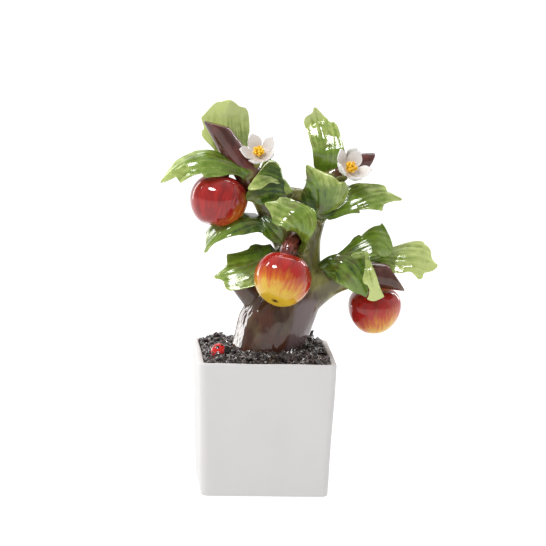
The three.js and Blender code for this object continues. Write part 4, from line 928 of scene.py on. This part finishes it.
# top is the way the stalk's end looks and yellow the way of the yellow side, which the red leaves bare from
# ripe on. dark is how deep the red is, taper how much the fruit narrows to its eye, and hollow the depth at
# the stalk where it isn't the usual one. A stalk's places have their radius.
FRUIT = {
    "apple_front": {"centre": (7.7, -31, 134.4), "radius": 17.8, "top": (0.32, 0.52, 0.79),
        "stalk": [(10, -24, 146, 4.2), (12.4, -20.5, 153, 5), (17, -11, 157, 4.6), (22, -2, 156, 4)],
        "yellow": (-0.34, -0.42, -0.84), "ripe": 0.14, "dark": 0.3, "taper": 0.07},
    "apple_left": {"centre": (-31.3, -6, 178.7), "radius": 18, "top": (0.2, 0.26, 0.94),
        "stalk": [(-28.6, -5, 190, 2.2), (-25, -3, 199, 2.4), (-17, -1, 204, 2.8), (-14, -1, 203, 2.8)],
        "yellow": (0.75, 0.1, -0.65), "ripe": 0.62, "dark": 0.5, "taper": 0.03, "hollow": 0.1},
    "apple_right": {"centre": (68.6, 8, 109.5), "radius": 16.6, "top": (-0.1, -0.14, 0.98),
        "stalk": [(67.6, 6.6, 119, 2.2), (67, 5, 124, 2.4), (66, 2, 130, 2.8)],
        "yellow": (0.37, -0.19, -0.90), "ripe": 0.42, "dark": 0.25, "taper": 0.08},
    "apple_back": {"centre": (14, 32, 126), "radius": 16.6, "top": (0.1, -0.3, 0.95),
        "stalk": [(15, 29, 137, 2.4), (17, 22, 146, 2.8), (19, 12, 149, 3.2), (20, 3, 147, 3.2)],
        "yellow": (0.2, 0.5, -0.85), "ripe": 0.2, "dark": 0.3, "taper": 0.05},
}
FRUIT_RED, FRUIT_DARK = (0.430, 0.020, 0.015, 1), (0.200, 0.012, 0.012, 1)
FRUIT_ORANGE, FRUIT_YELLOW = (0.560, 0.145, 0.018, 1), (0.620, 0.400, 0.030, 1)
EYE_BROWN = (0.060, 0.030, 0.012, 1)


def fruit_skin(fruit, sides=96, rings=72):
    """A fruit's skin, and at each point its place for the brush strokes, how far it is to the yellow side,
    how deep its red is and how much it belongs to the brown eye."""
    form = FRUIT_FORM
    turn = np.linspace(0, math.pi, rings)
    spin = np.linspace(0, 2 * math.pi, sides, endpoint=False)
    wide = np.sin(turn) * (1 - form["shoulder"] * np.cos(turn)) / form["widest"]
    wide[0] = wide[-1] = form["pole"]
    eye = form["eye"] * np.exp(-(turn / form["eye_opens"]) ** 2)
    hollow = fruit.get("hollow", form["hollow"]) * np.exp(-((math.pi - turn) / form["hollow_opens"]) ** 2)
    high = -form["high"] * np.cos(turn) + eye - hollow
    rib_share = form["rib_deep"] * np.cos(form["ribs"] * spin)[None, :]
    ribs = 1 + rib_share * (1 - np.cos(turn) * form["rib_fade"])[:, None]
    local = np.stack([wide[:, None] * ribs * np.cos(spin), wide[:, None] * ribs * np.sin(spin),
                      np.repeat(high[:, None], sides, 1)], -1)
    top = unit(np.asarray(fruit["top"], float))
    across = unit(np.cross((0.0, 1.0, 0.0), top))
    stand = np.stack([across, np.cross(top, across), top])
    out = local @ stand
    out = out * (1 + fruit["taper"] * out[..., 2:]) ** np.array([1, 1, 0])
    points, faces = skin(out * fruit["radius"] + np.asarray(fruit["centre"], float))
    yellow = out.reshape(-1, 3) @ unit(np.asarray(fruit["yellow"], float)) - fruit["ripe"]
    stripe = (local * (1, 1, STROKE_LONG) / np.maximum(wide, STROKE_LEAST)[:, None, None]).reshape(-1, 3)
    eye_brown = np.repeat(np.exp(-(turn / form["eye_brown"]) ** 4)[:, None], sides, 1).ravel()
    return points, faces, stripe, yellow, np.full(len(points), fruit["dark"]), eye_brown


fruit_glaze, place = new_glaze("red_over_yellow_glaze")
stripe = dipped(place, "stripe", 1)
stroke = stripe.cloudy(0.085, 3, 0.65)
broad = stripe.cloudy(0.30, 3)
cover = dipped(place, "bare", 2) + 0.9 * (stroke - 0.5) + 0.8 * (broad - 0.5)
deep_red = dipped(place, "dark", 2) + 1.1 * (broad - 0.5) + 1.1 * (stroke - 0.5)
red = deep_red.rise(0.0, 0.9).blend(FRUIT_RED, FRUIT_DARK)
orange = cover.rise(-0.32, 0.26).blend(red, FRUIT_ORANGE)
flesh = cover.rise(0.06, 0.60).blend(orange, FRUIT_YELLOW)
fire(fruit_glaze, {
    "Base Color": dipped(place, "eye", 2).blend(flesh, EYE_BROWN),
    "Roughness": 0.035 + 0.03 * place.cloudy(7, 2),
    "Normal": place.cloudy(11, 2).bumps(0.25),
})
stalk_glaze, place = new_glaze("red_brown_stalk_glaze")
fire(stalk_glaze, {
    "Base Color": place.cloudy(3, 3).rise(0.35, 0.65).blend(STALK_DARK, STALK_RED),
    "IOR": 1.58,
    "Roughness": 0.05 + 0.04 * place.cloudy(3, 2),
    "Normal": place.cloudy(3, 2).bumps(0.4),
})
for name, fruit in FRUIT.items():
    points, faces, stripe_at, bare_at, dark_at, eye_at = fruit_skin(fruit)
    ball = make_piece(name + "_flesh", points, faces, fruit_glaze, stripe=stripe_at, bare=bare_at,
                      dark=dark_at, eye=eye_at)
    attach(ball, "root")
    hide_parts(name)
    sunk = np.array(fruit["centre"]) + unit(np.array(fruit["top"], float)) * fruit["radius"] * STALK["sinks"]
    route = [(*sunk, fruit["stalk"][0][3] * STALK["foot"])] + fruit["stalk"]
    points, faces = skin(limb_rings(route, 1, 28, 40, STALK["flutes"], 5)[0])
    stalk = make_piece(name + "_stalk", points, faces, stalk_glaze)
    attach(stalk, "root")
    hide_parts(name)


# The blossom. Five petals pinched thin and cupped round a knot of stamens, which are short rolls of
# yellow clay. The petals are left a soft white and the stamens take a clear glaze.
PETALS, PETAL_THICK, PETAL_FOLD = 5, 1.5, 12
# As shares of the reach: half widths at even steps, and the rib's places out and forward.
PETAL_SHARES = [0.14, 0.29, 0.39, 0.38, 0.27, 0.06]
PETAL_RIB = [(0.04, 0), (0.6, -0.1), (0.85, 0.25), (1, 0.7)]
# The knot's size as shares of the reach, and its rolls: the outermost one's lean, how far each turns on from
# the last, and their ends, radii and unevenness in millimetres.
HEART = {"radius": 0.3, "forward": 0.3, "foot": 0.14}
STAMEN = {"many": 16, "start": 0.3, "lean": 1.25, "turn": 2.4, "stray": 0.25, "foot_up": 0.4, "tip_down": 0.7,
          "bow": 0.25, "radii": (0.62, 0.66, 0.95), "cap": 0.9, "cap_turns": (0.5, 1.0, 1.45)}
BLOSSOMS = {
    "blossom_left": {"centre": (-6.8, -9, 208.4), "faces": (-0.16, -0.7, 0.7), "reach": 11.2, "turn": 46,
        "stem": [(-6.8, -8.6, 208, 1.8), (-8, -5, 202, 2.2), (-11, 0, 196, 2.6)]},
    "blossom_right": {"centre": (48.3, -9, 199.2), "faces": (0.42, -0.57, 0.71), "reach": 12.1, "turn": 42,
        "stem": [(48.2, -8.6, 199, 1.8), (46, -4, 194, 2.2), (40, 3, 191, 2.6)]},
    "blossom_back": {"centre": (48, 17, 199), "faces": (0.1, 0.9, 0.38), "reach": 11, "turn": 60,
        "stem": [(48, 15, 197, 1.8), (47, 9, 195, 2.2), (44, 5, 196, 2.6)]},
}
PETAL_WHITE, PETAL_WARM = (0.73, 0.710, 0.690, 1), (0.60, 0.53, 0.47, 1)
STAMEN_YELLOW, STAMEN_GOLD = (0.90, 0.56, 0.02, 1), (0.72, 0.30, 0.008, 1)

petal_glaze, place = new_glaze("soft_white_petal")
throat = dipped(place, "throat", 2)
fire(petal_glaze, {
    "Base Color": (throat + 0.4 * (place.cloudy(3, 3) - 0.5)).rise(0.1, 0.9).blend(PETAL_WARM, PETAL_WHITE),
    "Roughness": 0.2 + 0.15 * place.cloudy(4, 2),
    "Normal": place.cloudy(2.5, 3).bumps(0.12),
})
stamen_glaze, place = new_glaze("clear_yellow_glaze")
fire(stamen_glaze, {
    "Base Color": place.cloudy(1.4, 2).rise(0.45, 0.75).blend(STAMEN_YELLOW, STAMEN_GOLD),
    "Roughness": 0.12 + 0.1 * place.cloudy(1.2, 2),
})


def in_flower(flower, angle, out, forward):
    """A place in a flower: out from its middle at this angle, and forward the way it faces."""
    look = unit(np.array(flower["faces"], float))
    right = unit(np.cross((0.0, 0.0, 1.0), look))
    up = np.cross(look, right)
    return (np.array(flower["centre"], float) + right * math.cos(angle) * out + up * math.sin(angle) * out
            + look * forward)


for number, (name, flower) in enumerate(BLOSSOMS.items()):
    look, reach = unit(np.array(flower["faces"], float)), flower["reach"]
    pinch = np.random.default_rng(60 + number)
    petals = []
    for k in range(PETALS):
        angle = math.radians(flower["turn"] + k * 360 / PETALS)
        rib = [in_flower(flower, angle, reach * out, reach * forward) for out, forward in PETAL_RIB]
        half = plain_margin(np.array(PETAL_SHARES) * reach * pinch.uniform(0.98, 1.04), reach, 24)
        petal = {"rib": rib, "left": half, "right": half, "faces": look, "fold": (PETAL_FOLD, PETAL_FOLD),
                 "curl": pinch.uniform(0.1, 0.6, 2), "tone": (0.1, 1.0)}
        points, faces, _, tone_at = leaf_skin(petal, k, 48, 44, PETAL_THICK, 0.0)
        petals.append((points, faces, tone_at))
    points, faces = skin(limb_rings(flower["stem"], 1, 18, 14)[0])
    stem = make_piece(name + "_stem", points, faces, bark_glaze, green=np.ones(len(points)))
    points, faces, throat_at = gather(petals)
    cup = make_piece(name + "_petals", points, faces, petal_glaze, throat=throat_at)
    rolls = []
    for k in range(STAMEN["many"]):
        lean = math.sqrt((k + STAMEN["start"]) / STAMEN["many"]) * STAMEN["lean"]
        angle = k * STAMEN["turn"] + pinch.uniform(-STAMEN["stray"], STAMEN["stray"])
        high = reach * (HEART["forward"] + HEART["radius"] * math.cos(lean) * pinch.uniform(0.75, 1.0))
        foot = in_flower(flower, angle, reach * HEART["foot"] * math.sin(lean), STAMEN["foot_up"])
        tip = in_flower(flower, angle, reach * HEART["radius"] * math.sin(lean), high - STAMEN["tip_down"])
        bow = (foot + tip) / 2 + pinch.normal(0, STAMEN["bow"], 3)
        route = [(*spot, radius) for spot, radius in zip((foot, bow, tip), STAMEN["radii"])]
        rings = limb_rings(route, 1, 12, 10)[0]
        end, cap_way = rings[-1].mean(0), unit(tip - bow) * STAMEN["cap"]
        cap = [end + (rings[-1] - end) * math.cos(turn) + cap_way * math.sin(turn)
               for turn in STAMEN["cap_turns"]]
        rolls.append(skin(np.concatenate([rings, cap])))
    points, faces = gather(rolls)
    knot = make_piece(name + "_stamens", points, faces, stamen_glaze)
    for piece, kind in ((stem, "bark"), (cup, "blossom"), (knot, "blossom")):
        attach(piece, "root")
        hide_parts(name)


# The ladybird. A pea of red clay flattened on the soil, with a black head stuck on, a black line where its
# wing cases meet and round black spots painted on.
BEETLE = {"foot": (-29.4, -21, 84.4), "long": 9.8, "broad": 9.4, "high": 8, "widest": 0.38, "head": 3.6,
          "head_out": 4, "head_up": 3.2, "seam": 0.35, "seam_deep": 0.22, "line": 0.06, "spot_soft": 0.05}
# Each spot as the way it lies from the middle, and its width as a share of the ball's radius.
BEETLE_SPOTS = [(-0.21, 0.73, 0.65, 0.27), (-0.15, 0.92, -0.30, 0.19), (-0.68, 0.35, 0.62, 0.20),
                (-0.80, 0.55, -0.05, 0.20), (0.35, 0.40, 0.85, 0.20)]
BEETLE_RED, BEETLE_BLACK = (0.620, 0.018, 0.016, 1), (0.008, 0.007, 0.007, 1)


def pea(rings=40, sides=56, pole=0.001):
    """Rings of points round a ball of radius 1, from its back to its front."""
    turn = np.linspace(pole, math.pi - pole, rings)[:, None]
    spin = np.linspace(0, 2 * math.pi, sides, endpoint=False)
    return np.stack([np.repeat(-np.cos(turn), sides, 1), np.sin(turn) * np.cos(spin),
                     np.sin(turn) * np.sin(spin)], -1)


dome = pea()
painted = dome.reshape(-1, 3)
dome_size = np.array([BEETLE["long"] / 2, BEETLE["broad"] / 2, BEETLE["high"] * (1 - BEETLE["widest"])])
dome = dome * dome_size
dome[..., 2] = np.maximum(dome[..., 2], -BEETLE["high"] * BEETLE["widest"])
dome[..., 2] -= BEETLE["seam_deep"] * np.exp(-(dome[..., 1] / BEETLE["seam"]) ** 2) * (dome[..., 2] > 0)
dome = dome + np.array(BEETLE["foot"]) + (0, 0, BEETLE["high"] * BEETLE["widest"])
black = np.exp(-(painted[:, 1] / BEETLE["line"]) ** 2)
for x, y, z, wide in BEETLE_SPOTS:
    for side in (-1, 1):
        apart = np.linalg.norm(painted - unit(np.array((x, side * y, z))), axis=1)
        black = np.maximum(black, np.clip((wide - apart) / BEETLE["spot_soft"], 0, 1))

beetle_glaze, place = new_glaze("red_and_black_glaze")
fire(beetle_glaze, {
    "Base Color": dipped(place, "black", 2).rise(0.35, 0.65).blend(BEETLE_RED, BEETLE_BLACK),
    "Roughness": 0.05 + 0.04 * place.cloudy(3, 2),
    "Normal": place.cloudy(3, 2).bumps(0.12),
})
points, faces = skin(dome)
shell = make_piece("ladybird_shell", points, faces, beetle_glaze, black=black)
head = pea() * BEETLE["head"]
head[..., 2] = np.maximum(head[..., 2], -BEETLE["head_up"])
head = head + np.array(BEETLE["foot"]) + (BEETLE["head_out"], 0, BEETLE["head_up"])
points, faces = skin(head)
face = make_piece("ladybird_head", points, faces, beetle_glaze, black=np.ones(len(points)))
for piece in (shell, face):
    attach(piece, "root")
    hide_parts("ladybird")


# The table top, the lights and the camera. A pale sheet lit from below, a tall softbox behind on either side,
# a small one high on the left, a broad one overhead, a round lamp over the camera's left shoulder, and card
# all round, white at the left, pale grey at the back and right and darker grey in front.
TABLE = {"reach": 9000, "thick": 4, "glow": 0.84}
TABLE_GREY, TABLE_PALE = (0.32, 0.32, 0.32, 1), (0.35, 0.35, 0.35, 1)
CARD_WHITE, CARD_GREY, CARD_DARK = (1.05, 1.05, 1.05, 1), (0.45, 0.45, 0.45, 1), (0.42, 0.42, 0.43, 1)
SOFTBOXES = {
    "left_tall": {"way": (-0.72, 0.62, 0.22), "far": 1.15, "size": (0.22, 0.95), "bright": 6.5},
    "right_tall": {"way": (0.66, 0.60, 0.40), "far": 1.15, "size": (0.11, 0.90), "bright": 12},
    "left_high": {"way": (-0.70, -0.05, 0.70), "far": 1.2, "size": (0.14, 0.42), "bright": 20},
    "overhead": {"way": (0.05, 0.45, 0.89), "far": 1.2, "size": (0.80, 0.30), "bright": 5},
    "lamp": {"way": (-0.40, -0.52, 0.75), "far": 1.5, "size": (0.34, 0.34), "bright": 32},
}
SUBJECT = np.array([0.015, 0.0, 0.14])

floor_glaze, place = new_glaze("pale_table_top")
fire(floor_glaze, {
    "Base Color": place.cloudy(400, 2).blend(TABLE_GREY, TABLE_PALE),
    "Roughness": 0.9,
    "Emission Color": (1, 1, 1, 1),
    "Emission Strength": TABLE["glow"],
})
table_turns = np.linspace(0, 2 * math.pi, 64, endpoint=False)
table_rings = [(TABLE["reach"], -TABLE["thick"]), (TABLE["reach"], 0), (1, 0)]
points, faces = skin([[(math.cos(turn) * reach, math.sin(turn) * reach, z) for turn in table_turns]
                      for reach, z in table_rings])
floor_sheet = make_piece("table_top", points, faces, floor_glaze)


def stand(thing, at, across, over, back):
    """Puts a light or the camera at a place, with its own three directions."""
    bpy.context.scene.collection.objects.link(thing)
    thing.matrix_world = np.vstack([np.column_stack([across, over, back, at]), (0, 0, 0, 1)]).T.tolist()


for name, box in SOFTBOXES.items():
    light = bpy.data.lights.new(name, "AREA")
    light.shape = "ELLIPSE" if name == "lamp" else "RECTANGLE"
    light.size, light.size_y = box["size"]
    area = box["size"][0] * box["size"][1] * (math.pi / 4 if name == "lamp" else 1)
    light.energy = box["bright"] * math.pi * area
    holder = bpy.data.objects.new(name, light)
    holder.visible_camera = False
    back = unit(np.array(box["way"]))
    across = unit(np.cross((0.0, 0.0, 1.0), back))
    stand(holder, SUBJECT + back * box["far"], across, np.cross(back, across), back)

world = bpy.data.worlds.new("pale_card_all_round")
bpy.context.scene.world = world
world.use_nodes = True
sky = world.node_tree.nodes["Background"]
way = Shade(world.node_tree.nodes.new("ShaderNodeTexCoord").outputs["Generated"])
front = (0 - way.axis(1)).rise(-0.45, 0.8)
beside = (0 - way.axis(0)).rise(0.25, 1.0) * 0.9
card = front.blend(beside.blend(CARD_WHITE, CARD_GREY), CARD_DARK)
world.node_tree.links.new(card.socket, sky.inputs["Color"])
sky.inputs["Strength"].default_value = 1.0

VIEW = {"far": 2.5, "azimuth": -4.079, "elevation": 10.052, "roll": 1.571,
        "target": (0.004246, 0.0, 0.133118)}
SENSOR, FRAME_WIDE, FOCAL_PIXELS, SEES_TO = 36.0, 546, 4036.45, 100
azimuth, rise, roll = (math.radians(VIEW[way]) for way in ("azimuth", "elevation", "roll"))
back = np.array([math.sin(azimuth) * math.cos(rise), -math.cos(azimuth) * math.cos(rise), math.sin(rise)])
right = np.array([math.cos(azimuth), math.sin(azimuth), 0])
up = np.cross(back, right)
camera = bpy.data.objects.new("camera", bpy.data.cameras.new("camera"))
camera.data.sensor_width = SENSOR
camera.data.lens = SENSOR * FOCAL_PIXELS / FRAME_WIDE
camera.data.clip_end = SEES_TO
stand(camera, np.array(VIEW["target"]) + back * VIEW["far"], right * math.cos(roll) + up * math.sin(roll),
      up * math.cos(roll) - right * math.sin(roll), back)
bpy.context.scene.camera = camera
bpy.context.scene.view_settings.view_transform = "Standard"
